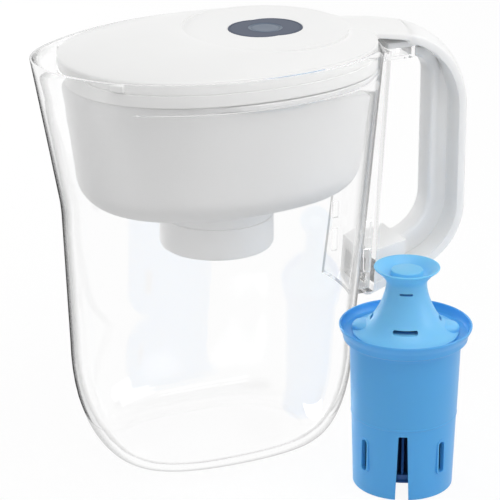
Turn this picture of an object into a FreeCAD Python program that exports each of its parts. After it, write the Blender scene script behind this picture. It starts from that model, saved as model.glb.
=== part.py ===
import FreeCAD, Part
import math
import os
import Sketcher
from FreeCAD import Placement, Rotation, Vector

# Water filter pitcher, in millimetres. +Z is up, +X points to the handle and -X to the spout.
# The origin is the centre of the flat base on which the pitcher stands.

doc = FreeCAD.newDocument("WaterFilterPitcher")
sheet = doc.addObject("Spreadsheet::Sheet", "Sizes")

# Driving dimensions

SIZES = (
    ("Clear pitcher",
     ("rim_height", 234.0),
     ("spout_height", 242.5),
     ("spout_reach", 103.5),
     ("spout_lift_length", 45.0),
     ("rim_back", 101.0),
     ("rim_half_width", 70.8),
     ("waist_height", 150.0),
     ("waist_front", 85.3),
     ("waist_back", 93.2),
     ("waist_half_width", 67.4),
     ("bowl_height", 65.0),
     ("bowl_front", 81.2),
     ("bowl_back", 82.5),
     ("bowl_half_width", 65.0),
     ("base_half_length", 55.0),
     ("base_half_width", 34.0),
     ("body_middle", 5.0),
     ("pitcher_wall", 2.4),
     ("rim_wall", 1.4),
     ("pitcher_floor", 3.0)),
    ("Rear bracket of the pitcher",
     ("bracket_half_width", 20.0),
     ("bracket_low", 84.0),
     ("bracket_high", 229.0),
     ("bracket_face_low", 95.5),
     ("bracket_face_high", 104.6),
     ("bracket_wall", 2.0),
     ("bracket_root", 70.0),
     ("window_low", 97.0),
     ("window_high", 111.0),
     ("window_depth", 4.4),
     ("window_upper_low", 118.0),
     ("window_upper_high", 128.0),
     ("arm_reach", 124.0),
     ("arm_low", 221.0),
     ("arm_high", 228.6),
     ("arm_half_width", 11.5),
     ("arm_wall", 1.6),
     ("boss_radius", 2.6),
     ("boss_x", 108.0),
     ("peg_radius", 1.5),
     ("peg_length", 9.0),
     ("peg_angle", 35.0),
     ("peg_x", 113.0),
     ("tenon_length", 14.0),
     ("tenon_half_width", 9.0),
     ("tenon_low", 86.0),
     ("tenon_high", 100.0)),
    ("Lid",
     ("lid_middle", 5.8),
     ("lid_half_length", 91.8),
     ("lid_half_width", 68.4),
     ("lid_edge_height", 240.0),
     ("lid_crown", 8.2),
     ("skirt_low", 226.3),
     ("lid_wall", 2.0),
     ("seat_height", 232.0),
     ("lip_low", 227.0),
     ("lip_wall", 1.5),
     ("disc_x", 34.7),
     ("disc_radius", 47.0),
     ("disc_height", 246.4),
     ("disc_thickness", 2.2),
     ("lug_width", 7.0),
     ("lug_height", 3.6),
     ("lug_depth", 1.8),
     ("lug_low", 234.5),
     ("lug_x", 78.0)),
    ("Hopper",
     ("ledge_height", 222.3),
     ("bead_height", 3.2),
     ("bead_proud", 0.2),
     ("bead_start", 62.0),
     ("hopper_inset", 2.4),
     ("hopper_draft", 0.12),
     ("hopper_bottom", 153.0),
     ("hopper_corner", 16.0),
     ("hopper_wall", 2.0),
     ("fit_gap", 0.4),
     ("well_x", 4.0),
     ("well_radius", 32.6),
     ("well_low", 123.0),
     ("well_wall", 1.3),
     ("well_edge", 2.6),
     ("well_step", 142.0),
     ("well_step_depth", 0.5),
     ("collar_height", 6.0),
     ("collar_wall", 1.6)),
    ("Handle",
     ("strap_half_width", 16.5),
     ("strap_thickness", 5.5),
     ("strap_crown", 4.0),
     ("strap_edge", 1.6),
     ("tongue_thickness", 4.0),
     ("tongue_half_width", 17.8),
     ("tongue_start", 76.0),
     ("seam_x", 118.6),
     ("seam_height", 236.9),
     ("seam_angle", 13.5),
     ("tongue_radius", 200.0),
     ("seam_gap", 0.4),
     ("handle_back", 157.2),
     ("heel_radius", 38.0),
     ("heel_height", 128.7),
     ("heel_slope", 19.3),
     ("grip_face", 137.2),
     ("grip_half_width", 7.4),
     ("grip_thickness", 6.0),
     ("grip_edge", 2.4),
     ("grip_top", 220.0),
     ("grip_top_radius", 12.0),
     ("grip_top_length", 6.0),
     ("grip_low_radius", 24.0),
     ("grip_low_height", 134.3),
     ("grip_slope", 9.7),
     ("web_thickness", 3.0),
     ("shelf_low", 229.0),
     ("shelf_high", 232.2),
     ("foot_length", 22.0),
     ("foot_half_width", 15.5),
     ("foot_edge", 3.0)),
    ("Filter life indicator",
     ("window_half_length", 20.4),
     ("window_half_width", 17.7),
     ("window_end_radius", 16.6),
     ("bezel_wall", 0.9),
     ("bezel_proud", 0.5),
     ("face_height", 246.2),
     ("face_dish", 1.0),
     ("button_radius", 8.0),
     ("button_height", 245.9),
     ("button_thickness", 1.5),
     ("button_gap", 0.3),
     ("button_travel", 0.8),
     ("stem_radius", 2.2),
     ("pod_wall", 1.6),
     ("pod_low", 232.3),
     ("pod_flange", 2.6),
     ("pod_flange_thickness", 1.2),
     ("board_low", 237.6),
     ("board_thickness", 1.0),
     ("board_ledge", 1.7),
     ("switch_width", 6.0),
     ("switch_height", 2.6),
     ("plunger_radius", 1.75),
     ("plunger_height", 0.5),
     ("dome_radius", 5.4),
     ("dome_wall", 0.8),
     ("light_length", 3.2),
     ("light_width", 1.6),
     ("light_height", 1.1),
     ("light_spacing", 12.5),
     ("cell_radius", 10.0),
     ("cell_thickness", 3.2),
     ("contact_length", 14.0),
     ("contact_width", 5.0),
     ("contact_thickness", 0.8),
     ("gasket_thickness", 0.8),
     ("cover_thickness", 1.2),
     ("screw_spacing", 21.0),
     ("screw_ear_radius", 3.0),
     ("screw_radius", 1.1),
     ("screw_head_radius", 2.2),
     ("screw_head_height", 0.9),
     ("screw_length", 7.0)),
    ("Filter cartridge beside the pitcher",
     ("filter_x", 76.7),
     ("filter_y", -96.2),
     ("filter_turn", -28.3),
     ("filter_foot_radius", 28.2),
     ("filter_body_radius", 30.9),
     ("filter_wall", 1.6),
     ("filter_bore_radius", 28.4),
     ("filter_body_top", 84.4),
     ("flange_step_radius", 34.2),
     ("flange_low", 88.0),
     ("flange_radius", 37.2),
     ("flange_top", 96.0),
     ("flange_rim", 1.4),
     ("flange_floor", 91.0),
     ("band_height", 43.5),
     ("band_depth", 0.7),
     ("band_width", 1.8),
     ("notch_top", 39.5),
     ("notch_top_half_width", 2.5),
     ("notch_foot_half_width", 3.6),
     ("slot_low", 14.5),
     ("slot_high", 33.0),
     ("slot_half_width", 2.0),
     ("slot_angle", 47.0),
     ("cap_foot_radius", 30.2),
     ("cap_foot_thickness", 1.6),
     ("cap_wall", 1.6),
     ("cap_shoulder_radius", 28.6),
     ("cap_shoulder_height", 94.2),
     ("cap_flare_radius", 21.5),
     ("cap_flare_height", 98.4),
     ("cap_slope_radius", 16.0),
     ("cap_slope_height", 104.8),
     ("neck_radius", 11.2),
     ("neck_height", 114.6),
     ("neck_top", 120.8),
     ("knob_radius", 18.3),
     ("knob_top", 130.0),
     ("knob_lip", 1.1),
     ("knob_dish_radius", 10.8),
     ("knob_dish_height", 123.8),
     ("plug_radius", 9.0),
     ("plug_top", 128.4),
     ("vent_half_width", 7.0),
     ("vent_height", 2.2),
     ("vent_low", 95.6),
     ("foot_slot_half_width", 10.0),
     ("foot_slot_height", 0.6),
     ("pad_radius", 7.5),
     ("pad_out", 22.5),
     ("pad_top", 96.4),
     ("pad_slot_half_width", 0.7),
     ("pad_slot_half_length", 2.6),
     ("pad_slot_out", 20.4),
     ("neck_slot_half_width", 4.0),
     ("neck_slot_height", 2.0),
     ("neck_slot_low", 117.0),
     ("media_low", 10.0),
     ("media_high", 82.0),
     ("media_radius", 23.6),
     ("media_inner_radius", 13.5),
     ("media_cap_thickness", 1.8),
     ("media_cap_radius", 24.6),
     ("fold_thickness", 0.7),
     ("media_cap_rim", 1.5),
     ("media_cap_wall", 0.7),
     ("core_wall", 1.5),
     ("core_slot_half_width", 2.4),
     ("core_slot_margin", 7.0),
     ("screen_thickness", 0.8),
     ("inner_ledge", 1.6)),
)

BOWL_TURNS = (0, 15, 30, 45, 60, 75, 90)
TUB_OUTSIDE_TURNS = (0, 18, 36, 54, 72, 90)
TUB_INSIDE_TURNS = (0, 45, 90)
PLEATS = 36
PLEAT_VALLEY_SHARE = 0.24
PLEAT_RIDGE_SHARE = 0.14
CORE_SLOTS = 8

# How the bowl opens upwards: 2 is a quarter ellipse, more is fuller near the base.
BOWL_GROWTH_ALONG = 2.0
BOWL_GROWTH_ACROSS = 2.4

# Squareness of the outlines: 2 is an ellipse, more is squarer, less is pointed.
BASE_SQUARENESS = 2.7
BOWL_SQUARENESS = 2.5
WAIST_SQUARENESS = 2.3
SPOUT_SQUARENESS = 1.85
LID_SQUARENESS = 2.26
LID_NOSE_SQUARENESS = 2.2
CROWN_SQUARENESS = 3.7

OVERRUN_NAME = "overrun"
OVERRUN = 2.0


class Named:
    """The sizes as attributes, so that size.rim_height reads the cell of that name."""


size = Named()
row = 1
for title, *entries in SIZES:
    sheet.set("A%d" % row, title)
    row += 1
    for alias, value in entries:
        sheet.set("A%d" % row, alias)
        sheet.set("B%d" % row, str(value))
        sheet.setAlias("B%d" % row, alias)
        setattr(size, alias, value)
        row += 1
sheet.set("A%d" % row, OVERRUN_NAME)
sheet.set("B%d" % row, str(OVERRUN))
sheet.setAlias("B%d" % row, OVERRUN_NAME)
size.overrun = OVERRUN
doc.recompute()


# Helpers for sums of named sizes

def amount(words):
    """Value of a sum of named sizes, such as 'rim_height - pitcher_floor'."""
    total = 0.0
    sign = 1.0
    for word in words.split():
        if word == "-":
            sign = -1.0
        elif word == "+":
            sign = 1.0
        elif word != "0":
            total += sign * getattr(size, word)
            sign = 1.0
    return total


def bound(words):
    """The same sum as a spreadsheet expression."""
    parts = []
    for word in words.split():
        parts.append(word if word in ("-", "+", "0") else "Sizes." + word)
    return " ".join(parts)


def bind(thing, **sums):
    """Bind properties of a document object to sums of named sizes."""
    for name, words in sums.items():
        thing.setExpression(name, bound(words))
    return thing


# Helpers for outlines

def quarter(middle, along, across, squareness, height):
    """A quarter of an oval, from the X axis to the widest place, as one smooth curve.

    The squareness is the exponent of a superellipse: the curve passes through its corner point.
    """
    pull = (8 * 2 ** (-1 / squareness) - 4) / 3
    curve = Part.BezierCurve()
    curve.setPoles([Vector(middle + along, 0, height), Vector(middle + along, across * pull, height),
                    Vector(middle + along * pull, across, height), Vector(middle, across, height)])
    return curve


def oval(height, middle, front, back, half_width, nose, tail):
    """A closed outline of four quarters, whose front may be more pointed than its back."""
    curves = [quarter(middle, back, half_width, tail, height),
              quarter(middle, -front, half_width, nose, height),
              quarter(middle, -front, -half_width, nose, height),
              quarter(middle, back, -half_width, tail, height)]
    edges = []
    for k, curve in enumerate(curves):
        if k % 2:
            poles = curve.getPoles()
            curve.setPoles(poles[::-1])
        edges.append(curve.toShape())
    return Part.Wire(edges)


def shape_feature(name, shape):
    feature = doc.addObject("Part::Feature", name)
    feature.Shape = shape
    return feature


def loft(name, wires, straight=False):
    """A solid through a stack of outlines, curved or in straight steps."""
    rings = [shape_feature("%s_ring_%02d" % (name, k), wire) for k, wire in enumerate(wires)]
    body = doc.addObject("Part::Loft", name)
    body.Sections = rings
    body.Solid = True
    body.Ruled = straight or len(wires) == 2
    return body


def fused(name, *things):
    union = doc.addObject("Part::MultiFuse", name)
    union.Shapes = list(things)
    union.Refine = False
    return union


def cut(name, base, tool):
    difference = doc.addObject("Part::Cut", name)
    difference.Base = base
    difference.Tool = tool
    difference.Refine = False
    return difference


def common(name, base, tool):
    overlap = doc.addObject("Part::Common", name)
    overlap.Base = base
    overlap.Tool = tool
    overlap.Refine = False
    return overlap


def box(name, low_x, low_y, low_z, length, width, height):
    """A block whose corner and sides are sums of named sizes."""
    block = doc.addObject("Part::Box", name)
    bind(block, Length=length, Width=width, Height=height)
    block.setExpression("Placement.Base.x", bound(low_x))
    block.setExpression("Placement.Base.y", bound(low_y))
    block.setExpression("Placement.Base.z", bound(low_z))
    return block


def rod(name, x, y, low, radius, height):
    """An upright cylinder whose place and sizes are sums of named sizes."""
    cylinder = doc.addObject("Part::Cylinder", name)
    bind(cylinder, Radius=radius, Height=height)
    cylinder.setExpression("Placement.Base.x", bound(x))
    cylinder.setExpression("Placement.Base.y", bound(y))
    cylinder.setExpression("Placement.Base.z", bound(low))
    return cylinder


def prism(name, ring_at, low, height):
    """An upright prism on an outline, from a named height up by a named height."""
    ring = shape_feature(name + "_ring", ring_at(amount(low)))
    column = doc.addObject("Part::Extrusion", name)
    column.Base = ring
    column.DirMode = "Custom"
    column.Dir = Vector(0, 0, 1)
    column.Solid = True
    column.setExpression("LengthFwd", bound(height))
    return column


def plane_of(body, role):
    return [feature for feature in body.Origin.OriginFeatures if feature.Role == role][0]


def new_sketch(body, name, role="XZ_Plane"):
    sketch = body.newObject("Sketcher::SketchObject", name)
    sketch.AttachmentSupport = (plane_of(body, role), [""])
    sketch.MapMode = "FlatFace"
    return sketch


def pin_point(sketch, line, end, words, kind):
    """Hold one end of a line at a named distance from the sketch's origin."""
    value = amount(words)
    axis = -2 if kind == "DistanceX" else -1
    if words == "0":
        sketch.addConstraint(Sketcher.Constraint("PointOnObject", line, end, axis))
        return
    constraint = Sketcher.Constraint(kind, -1, 1, line, end, value)
    index = sketch.addConstraint(constraint)
    sketch.setExpression("Constraints[%d]" % index, bound(words))


def closed_profile(sketch, corners):
    """A closed polygon whose corners are pairs of sums of named sizes."""
    count = len(corners)
    places = [Vector(amount(x), amount(y), 0) for x, y in corners]
    for k in range(count):
        sketch.addGeometry(Part.LineSegment(places[k], places[(k + 1) % count]), False)
    for k in range(count):
        sketch.addConstraint(Sketcher.Constraint("Coincident", k, 2, (k + 1) % count, 1))
    for k, (x, y) in enumerate(corners):
        pin_point(sketch, k, 1, x, "DistanceX")
        pin_point(sketch, k, 1, y, "DistanceY")


def turned(name, corners):
    """A body made by turning a profile of (radius, height) corners round the Z axis."""
    body = doc.addObject("PartDesign::Body", name)
    sketch = new_sketch(body, name + "_profile")
    closed_profile(sketch, corners)
    turn = body.newObject("PartDesign::Revolution", name + "_turn")
    turn.Profile = sketch
    turn.ReferenceAxis = (sketch, ["V_Axis"])
    turn.Angle = 360.0
    return body


def side_pocket(body, name, corners, both=False, role="XZ_Plane"):
    """A pocket through one side, or both sides, from the middle plane of the body."""
    sketch = new_sketch(body, name + "_sketch", role)
    closed_profile(sketch, corners)
    pocket = body.newObject("PartDesign::Pocket", name)
    pocket.Profile = sketch
    pocket.Type = "ThroughAll"
    pocket.SideType = "Symmetric" if both else "One side"
    return pocket


# Clear pitcher: a lofted vessel with a pointed pouring end

def between(low, high, share):
    return low + (high - low) * share


def vessel_outline(height, inset=0.0, floor=0.0):
    """The pitcher's outline at a height; a floor lifts the bowl for the inner surface."""
    if height < size.bowl_height:
        drop = min(1.0, (size.bowl_height - height) / (size.bowl_height - floor))
        share = (1 - drop ** BOWL_GROWTH_ALONG) ** (1 / BOWL_GROWTH_ALONG)
        across_share = (1 - drop ** BOWL_GROWTH_ACROSS) ** (1 / BOWL_GROWTH_ACROSS)
        front = between(size.base_half_length, size.bowl_front, share)
        back = between(size.base_half_length, size.bowl_back, share)
        half_width = between(size.base_half_width, size.bowl_half_width, across_share)
        nose = tail = between(BASE_SQUARENESS, BOWL_SQUARENESS, share)
        middle = size.body_middle * share
    elif height < size.waist_height:
        share = (height - size.bowl_height) / (size.waist_height - size.bowl_height)
        front = between(size.bowl_front, size.waist_front, share)
        back = between(size.bowl_back, size.waist_back, share)
        half_width = between(size.bowl_half_width, size.waist_half_width, share)
        nose = tail = between(BOWL_SQUARENESS, WAIST_SQUARENESS, share)
        middle = size.body_middle
    else:
        share = (height - size.waist_height) / (size.spout_height - size.waist_height)
        side_share = (height - size.waist_height) / (size.rim_height - size.waist_height)
        front = between(size.waist_front, size.spout_reach, share)
        back = between(size.waist_back, size.rim_back, side_share)
        half_width = between(size.waist_half_width, size.rim_half_width, side_share)
        nose = between(WAIST_SQUARENESS, SPOUT_SQUARENESS, share)
        tail = WAIST_SQUARENESS
        middle = size.body_middle
    return oval(height, middle, front + middle - inset, back - middle - inset, half_width - inset,
                nose, tail)


def bowl_heights(floor):
    """Heights of the outlines round the bowl, close together at the bottom."""
    return [size.bowl_height - (size.bowl_height - floor) * math.cos(math.radians(turn))
            for turn in BOWL_TURNS]


def wall_heights():
    """Heights of the outlines up the wall, which is nearly straight."""
    heights = [size.bowl_height, between(size.bowl_height, size.waist_height, 0.5)]
    for share in (0.0, 0.3, 0.6, 1.0):
        heights.append(between(size.waist_height, vessel_top, share))
    return heights


def vessel_space(name, wall):
    """The space inside a wall, in straight steps: it is out of sight behind the outer surface."""
    return loft(name, [vessel_outline(z, wall, size.pitcher_floor)
                       for z in bowl_heights(size.pitcher_floor) + wall_heights()[1:]], True)


vessel_top = size.spout_height + size.overrun
vessel_bowl = loft("vessel_bowl", [vessel_outline(z) for z in bowl_heights(0.0)])
vessel_wall = loft("vessel_wall", [vessel_outline(z) for z in wall_heights()], True)
vessel_outside = fused("vessel_outside", vessel_bowl, vessel_wall)
vessel_inside = vessel_space("vessel_inside", size.pitcher_wall)
vessel_mouth_full = vessel_space("vessel_mouth_full", size.rim_wall)
above_ledge = box("above_ledge", "0 - spout_reach - overrun", "0 - rim_half_width - overrun",
                  "ledge_height", "spout_reach + rim_back + overrun + overrun",
                  "rim_half_width + rim_half_width + overrun + overrun",
                  "spout_height - ledge_height + overrun")
vessel_mouth = common("vessel_mouth", vessel_mouth_full, above_ledge)
below_base = box("below_base", "0 - spout_reach", "0 - rim_half_width", "0 - overrun",
                 "spout_reach + rim_back", "rim_half_width + rim_half_width", "overrun")


# Rear bracket: an upright box on the back wall that carries the handle

def side_face(name, corners, low_y, width):
    """A prism along Y on a polygon of (x, z) corners given as numbers."""
    wire = Part.makePolygon([Vector(x, low_y, z) for x, z in corners + corners[:1]])
    face = shape_feature(name + "_face", Part.Face(wire))
    column = doc.addObject("Part::Extrusion", name)
    column.Base = face
    column.DirMode = "Custom"
    column.Dir = Vector(0, 1, 0)
    column.Solid = True
    column.LengthFwd = width
    return column


def bracket_face(height):
    """How far back the bracket's rear face is at a height."""
    share = (height - size.bracket_low) / (size.bracket_high - size.bracket_low)
    return between(size.bracket_face_low, size.bracket_face_high, share)


bracket_block = side_face("bracket_block", [
    (size.bracket_root, size.bracket_low),
    (bracket_face(size.bracket_low), size.bracket_low),
    (bracket_face(size.bracket_high), size.bracket_high),
    (size.bracket_root, size.bracket_high)],
    -size.bracket_half_width, 2 * size.bracket_half_width)

bracket_core = side_face("bracket_core", [
    (size.bracket_root, size.bracket_low + size.bracket_wall),
    (bracket_face(size.bracket_low) - size.bracket_wall, size.bracket_low + size.bracket_wall),
    (bracket_face(size.bracket_high) - size.bracket_wall, size.bracket_high + size.overrun),
    (size.bracket_root, size.bracket_high + size.overrun)],
    size.bracket_wall - size.bracket_half_width,
    2 * (size.bracket_half_width - size.bracket_wall))
bracket_hollow = cut("bracket_hollow", bracket_core, vessel_outside)

window_lower = box("window_lower", "bracket_face_low - bracket_wall - window_depth",
                   "0 - bracket_half_width - overrun", "window_low", "window_depth",
                   "bracket_half_width + bracket_half_width + overrun + overrun",
                   "window_high - window_low")
window_upper = box("window_upper", "bracket_face_low - bracket_wall - window_depth",
                   "0 - bracket_half_width - overrun", "window_upper_low", "window_depth",
                   "bracket_half_width + bracket_half_width + overrun + overrun",
                   "window_upper_high - window_upper_low")
bracket_windows = cut("bracket_windows", fused("window_blocks", window_lower, window_upper),
                      vessel_outside)

arm_block = box("arm_block", "bracket_face_low", "0 - arm_half_width", "arm_low",
                "arm_reach - bracket_face_low", "arm_half_width + arm_half_width",
                "arm_high - arm_low")
arm_hollow = box("arm_hollow", "bracket_face_high + arm_wall", "arm_wall - arm_half_width",
                 "arm_low + arm_wall", "arm_reach - bracket_face_high",
                 "arm_half_width + arm_half_width - arm_wall - arm_wall",
                 "arm_high - arm_low + overrun")
arm = cut("arm", arm_block, arm_hollow)
arm_boss = rod("arm_boss", "boss_x", "0", "arm_low", "boss_radius", "arm_high - arm_low")
peg = doc.addObject("Part::Cylinder", "peg")
bind(peg, Radius="peg_radius", Height="peg_length")
peg.Placement = Placement(Vector(size.peg_x, 0, size.arm_high - size.peg_radius),
                          Rotation(Vector(0, 1, 0), 90 + size.peg_angle))
tenon = box("tenon", "bracket_face_low - bracket_wall", "0 - tenon_half_width", "tenon_low",
            "tenon_length + bracket_wall", "tenon_half_width + tenon_half_width",
            "tenon_high - tenon_low")


# Rim: level along the sides and lifted in one curve to the spout

def rim_cutter():
    """Everything above the rim line, as a prism along Y."""
    lift = size.spout_height - size.rim_height
    radius = (size.spout_lift_length ** 2 + lift ** 2) / (2 * lift)
    start_x = size.spout_lift_length - size.spout_reach
    half_turn = math.asin(size.spout_lift_length / radius) / 2
    start = Vector(start_x, 0, size.rim_height)
    end = Vector(-size.spout_reach, 0, size.spout_height)
    middle = Vector(start_x - radius * math.sin(half_turn), 0,
                    size.rim_height + radius * (1 - math.cos(half_turn)))
    left = -size.spout_reach - size.overrun
    right = size.bracket_face_high + size.overrun
    top = size.spout_height + size.lid_crown
    corners = [end, Vector(left, 0, size.spout_height), Vector(left, 0, top),
               Vector(right, 0, top), Vector(right, 0, size.rim_height), start]
    edges = [Part.LineSegment(a, b).toShape() for a, b in zip(corners, corners[1:])]
    edges.append(Part.Arc(start, middle, end).toShape())
    face = Part.Face(Part.Wire(Part.__sortEdges__(edges)))
    face.translate(Vector(0, -size.rim_half_width - size.overrun, 0))
    cutter = doc.addObject("Part::Extrusion", "rim_cutter")
    cutter.Base = shape_feature("rim_cutter_face", face)
    cutter.DirMode = "Custom"
    cutter.Dir = Vector(0, 1, 0)
    cutter.Solid = True
    cutter.LengthFwd = 2 * (size.rim_half_width + size.overrun)
    return cutter


vessel_blank = fused("vessel_blank", vessel_outside, bracket_block, arm, arm_boss, peg, tenon)
vessel_spaces = fused("vessel_spaces", vessel_inside, vessel_mouth, bracket_hollow,
                      bracket_windows, rim_cutter(), below_base)
pitcher_body = cut("pitcher_body", vessel_blank, vessel_spaces)


# Strap: one crowned band that runs from the lid's tongue over and down the handle

def turn_point(centre_x, centre_z, radius, angle):
    """Point on a circle in the XZ plane; the angle is from +X towards +Z, in degrees."""
    turn = math.radians(angle)
    return Vector(centre_x + radius * math.cos(turn), 0, centre_z + radius * math.sin(turn))


def arc_edge(centre_x, centre_z, radius, from_angle, to_angle):
    return Part.Arc(turn_point(centre_x, centre_z, radius, from_angle),
                    turn_point(centre_x, centre_z, radius, (from_angle + to_angle) / 2),
                    turn_point(centre_x, centre_z, radius, to_angle)).toShape()


def strap_section(start, heading, half_width, thickness, crown, edge_radius):
    """A band section across the path: crowned outside, flat inside, its corners rounded."""
    along = Vector(math.cos(math.radians(heading)), 0, math.sin(math.radians(heading)))
    outward = Vector(-along.z, 0, along.x)
    side = Vector(0, 1, 0)

    def at(y, out):
        return start + side * y + outward * out

    flat = half_width - edge_radius
    corner = edge_radius * (1 - math.sqrt(0.5))
    edges = [
        Part.Arc(at(-flat, 0), at(0, crown), at(flat, 0)).toShape(),
        Part.Arc(at(flat, 0), at(half_width - corner, -corner),
                 at(half_width, -edge_radius)).toShape(),
        Part.LineSegment(at(half_width, -edge_radius), at(half_width, -thickness)).toShape(),
        Part.LineSegment(at(half_width, -thickness), at(-half_width, -thickness)).toShape(),
        Part.LineSegment(at(-half_width, -thickness), at(-half_width, -edge_radius)).toShape(),
        Part.Arc(at(-half_width, -edge_radius), at(corner - half_width, -corner),
                 at(-flat, 0)).toShape(),
    ]
    return Part.Wire(edges)


def sweep(name, path_edges, section):
    """A solid swept along a path of tangent lines and arcs."""
    spine = shape_feature(name + "_path", Part.Wire(path_edges))
    band = doc.addObject("Part::Sweep", name)
    band.Sections = [shape_feature(name + "_section", section)]
    band.Spine = (spine, ["Edge%d" % (k + 1) for k in range(len(path_edges))])
    band.Solid = True
    band.Frenet = False
    band.Transition = "Transformed"
    return band


shoulder_radius = ((size.handle_back - size.seam_x)
                   / (1 - math.sin(math.radians(size.seam_angle))))
shoulder_x = size.handle_back - shoulder_radius
shoulder_z = size.seam_height - shoulder_radius * math.cos(math.radians(size.seam_angle))
heel_x = size.handle_back - size.heel_radius
tongue_x = size.seam_x - size.tongue_radius * math.sin(math.radians(size.seam_angle))
tongue_z = size.seam_height - size.tongue_radius * math.cos(math.radians(size.seam_angle))
tongue_angle = math.degrees(math.acos((size.tongue_start - tongue_x) / size.tongue_radius))
gap_angle = math.degrees(size.seam_gap / size.tongue_radius)
foot_run = (heel_x - size.bracket_face_low
            + size.heel_radius * math.sin(math.radians(size.heel_slope)))

tongue_path = [arc_edge(tongue_x, tongue_z, size.tongue_radius, tongue_angle,
                        90 - size.seam_angle + gap_angle)]
tongue_band = sweep("tongue_band", tongue_path, strap_section(
    turn_point(tongue_x, tongue_z, size.tongue_radius, tongue_angle), tongue_angle - 90,
    size.tongue_half_width, size.tongue_thickness, size.strap_crown, size.strap_edge))

heel_end = turn_point(heel_x, size.heel_height, size.heel_radius, size.heel_slope - 90)
foot_end = heel_end + Vector(-foot_run, 0, -foot_run * math.tan(math.radians(size.heel_slope)))
strap_path = [
    arc_edge(shoulder_x, shoulder_z, shoulder_radius, 90 - size.seam_angle, 0),
    Part.LineSegment(Vector(size.handle_back, 0, shoulder_z),
                     Vector(size.handle_back, 0, size.heel_height)).toShape(),
    arc_edge(heel_x, size.heel_height, size.heel_radius, 0, size.heel_slope - 90),
    Part.LineSegment(heel_end, foot_end).toShape(),
]
strap_start = turn_point(shoulder_x, shoulder_z, shoulder_radius, 90 - size.seam_angle)
strap = sweep("strap", strap_path, strap_section(
    strap_start, -size.seam_angle, size.strap_half_width, size.strap_thickness,
    size.strap_crown, size.strap_edge))

# Grip: a narrow rounded bead round the finger opening, joined to the strap by a thin web

grip_x = size.grip_face - size.grip_top_radius
grip_z = size.grip_top - size.grip_top_radius
low_x = size.grip_face - size.grip_low_radius
grip_low_end = turn_point(low_x, size.grip_low_height, size.grip_low_radius, size.grip_slope - 90)
grip_run = grip_low_end.x - bracket_face(size.window_high)
grip_foot = grip_low_end + Vector(-grip_run, 0, -grip_run * math.tan(math.radians(size.grip_slope)))
grip_path = [
    Part.LineSegment(Vector(grip_x - size.grip_top_length, 0, size.grip_top),
                     Vector(grip_x, 0, size.grip_top)).toShape(),
    arc_edge(grip_x, grip_z, size.grip_top_radius, 90, 0),
    Part.LineSegment(Vector(size.grip_face, 0, grip_z),
                     Vector(size.grip_face, 0, size.grip_low_height)).toShape(),
    arc_edge(low_x, size.grip_low_height, size.grip_low_radius, 0, size.grip_slope - 90),
    Part.LineSegment(grip_low_end, grip_foot).toShape(),
]


def grip_section():
    """A bar across the start of the grip path, on its outer side, rounded where fingers hold it."""
    x = grip_x - size.grip_top_length
    low, high = size.grip_top, size.grip_top + size.grip_thickness
    half, edge = size.grip_half_width, size.grip_edge
    corner = edge * (1 - math.sqrt(0.5))
    return Part.Wire([
        Part.Arc(Vector(x, half - edge, low), Vector(x, half - corner, low + corner),
                 Vector(x, half, low + edge)).toShape(),
        Part.LineSegment(Vector(x, half, low + edge), Vector(x, half, high)).toShape(),
        Part.LineSegment(Vector(x, half, high), Vector(x, -half, high)).toShape(),
        Part.LineSegment(Vector(x, -half, high), Vector(x, -half, low + edge)).toShape(),
        Part.Arc(Vector(x, -half, low + edge), Vector(x, corner - half, low + corner),
                 Vector(x, edge - half, low)).toShape(),
        Part.LineSegment(Vector(x, edge - half, low), Vector(x, half - edge, low)).toShape()])


grip = sweep("grip", grip_path, grip_section())

web_corners = [Part.LineSegment(strap_start, grip_path[0].Vertexes[0].Point).toShape()]
web_corners += grip_path
web_corners.append(Part.LineSegment(grip_foot, foot_end).toShape())
web_face = Part.Face(Part.Wire(Part.__sortEdges__(web_corners + strap_path)))
web_face.translate(Vector(0, -size.web_thickness / 2, 0))
web_sheet = doc.addObject("Part::Extrusion", "web_sheet")
web_sheet.Base = shape_feature("web_face", web_face)
web_sheet.DirMode = "Custom"
web_sheet.Dir = Vector(0, 1, 0)
web_sheet.Solid = True
bind(web_sheet, LengthFwd="web_thickness")

shelf = box("shelf", "bracket_face_high + seam_gap", "0 - strap_half_width + strap_edge", "shelf_low",
            "seam_x - bracket_face_high + strap_thickness",
            "strap_half_width + strap_half_width - strap_edge - strap_edge",
            "shelf_high - shelf_low")

foot_rise = size.foot_length * math.tan(math.radians(size.grip_slope))
heel_rise = size.foot_length * math.tan(math.radians(size.heel_slope))
foot_block = side_face("foot_block", [
    (grip_foot.x, grip_foot.z),
    (grip_foot.x + size.foot_length, grip_foot.z + foot_rise),
    (foot_end.x + size.foot_length, foot_end.z + heel_rise),
    (foot_end.x, foot_end.z)],
    -size.foot_half_width, 2 * size.foot_half_width)

tenon_socket = box("tenon_socket", "bracket_face_low - overrun", "0 - tenon_half_width - fit_gap",
                   "tenon_low - fit_gap", "tenon_length + overrun + fit_gap",
                   "tenon_half_width + tenon_half_width + fit_gap + fit_gap",
                   "tenon_high - tenon_low + fit_gap + fit_gap")
arm_socket = box("arm_socket", "bracket_face_low", "0 - arm_half_width - fit_gap",
                 "arm_low - overrun", "arm_reach - bracket_face_low + fit_gap",
                 "arm_half_width + arm_half_width + fit_gap + fit_gap",
                 "shelf_low - arm_low + overrun")
below_bracket = size.bracket_low - size.foot_edge - size.overrun
behind_bracket = side_face("behind_bracket", [
    (size.bracket_root, below_bracket),
    (bracket_face(below_bracket) + size.seam_gap / 2, below_bracket),
    (bracket_face(size.bracket_high) + size.seam_gap / 2, size.bracket_high),
    (size.bracket_root, size.bracket_high)],
    -size.rim_half_width, 2 * size.rim_half_width)
handle_blank = fused("handle_blank", strap, grip, web_sheet, shelf, foot_block)
handle_spaces = fused("handle_spaces", tenon_socket, arm_socket, behind_bracket)
handle = cut("handle", handle_blank, handle_spaces)


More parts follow.
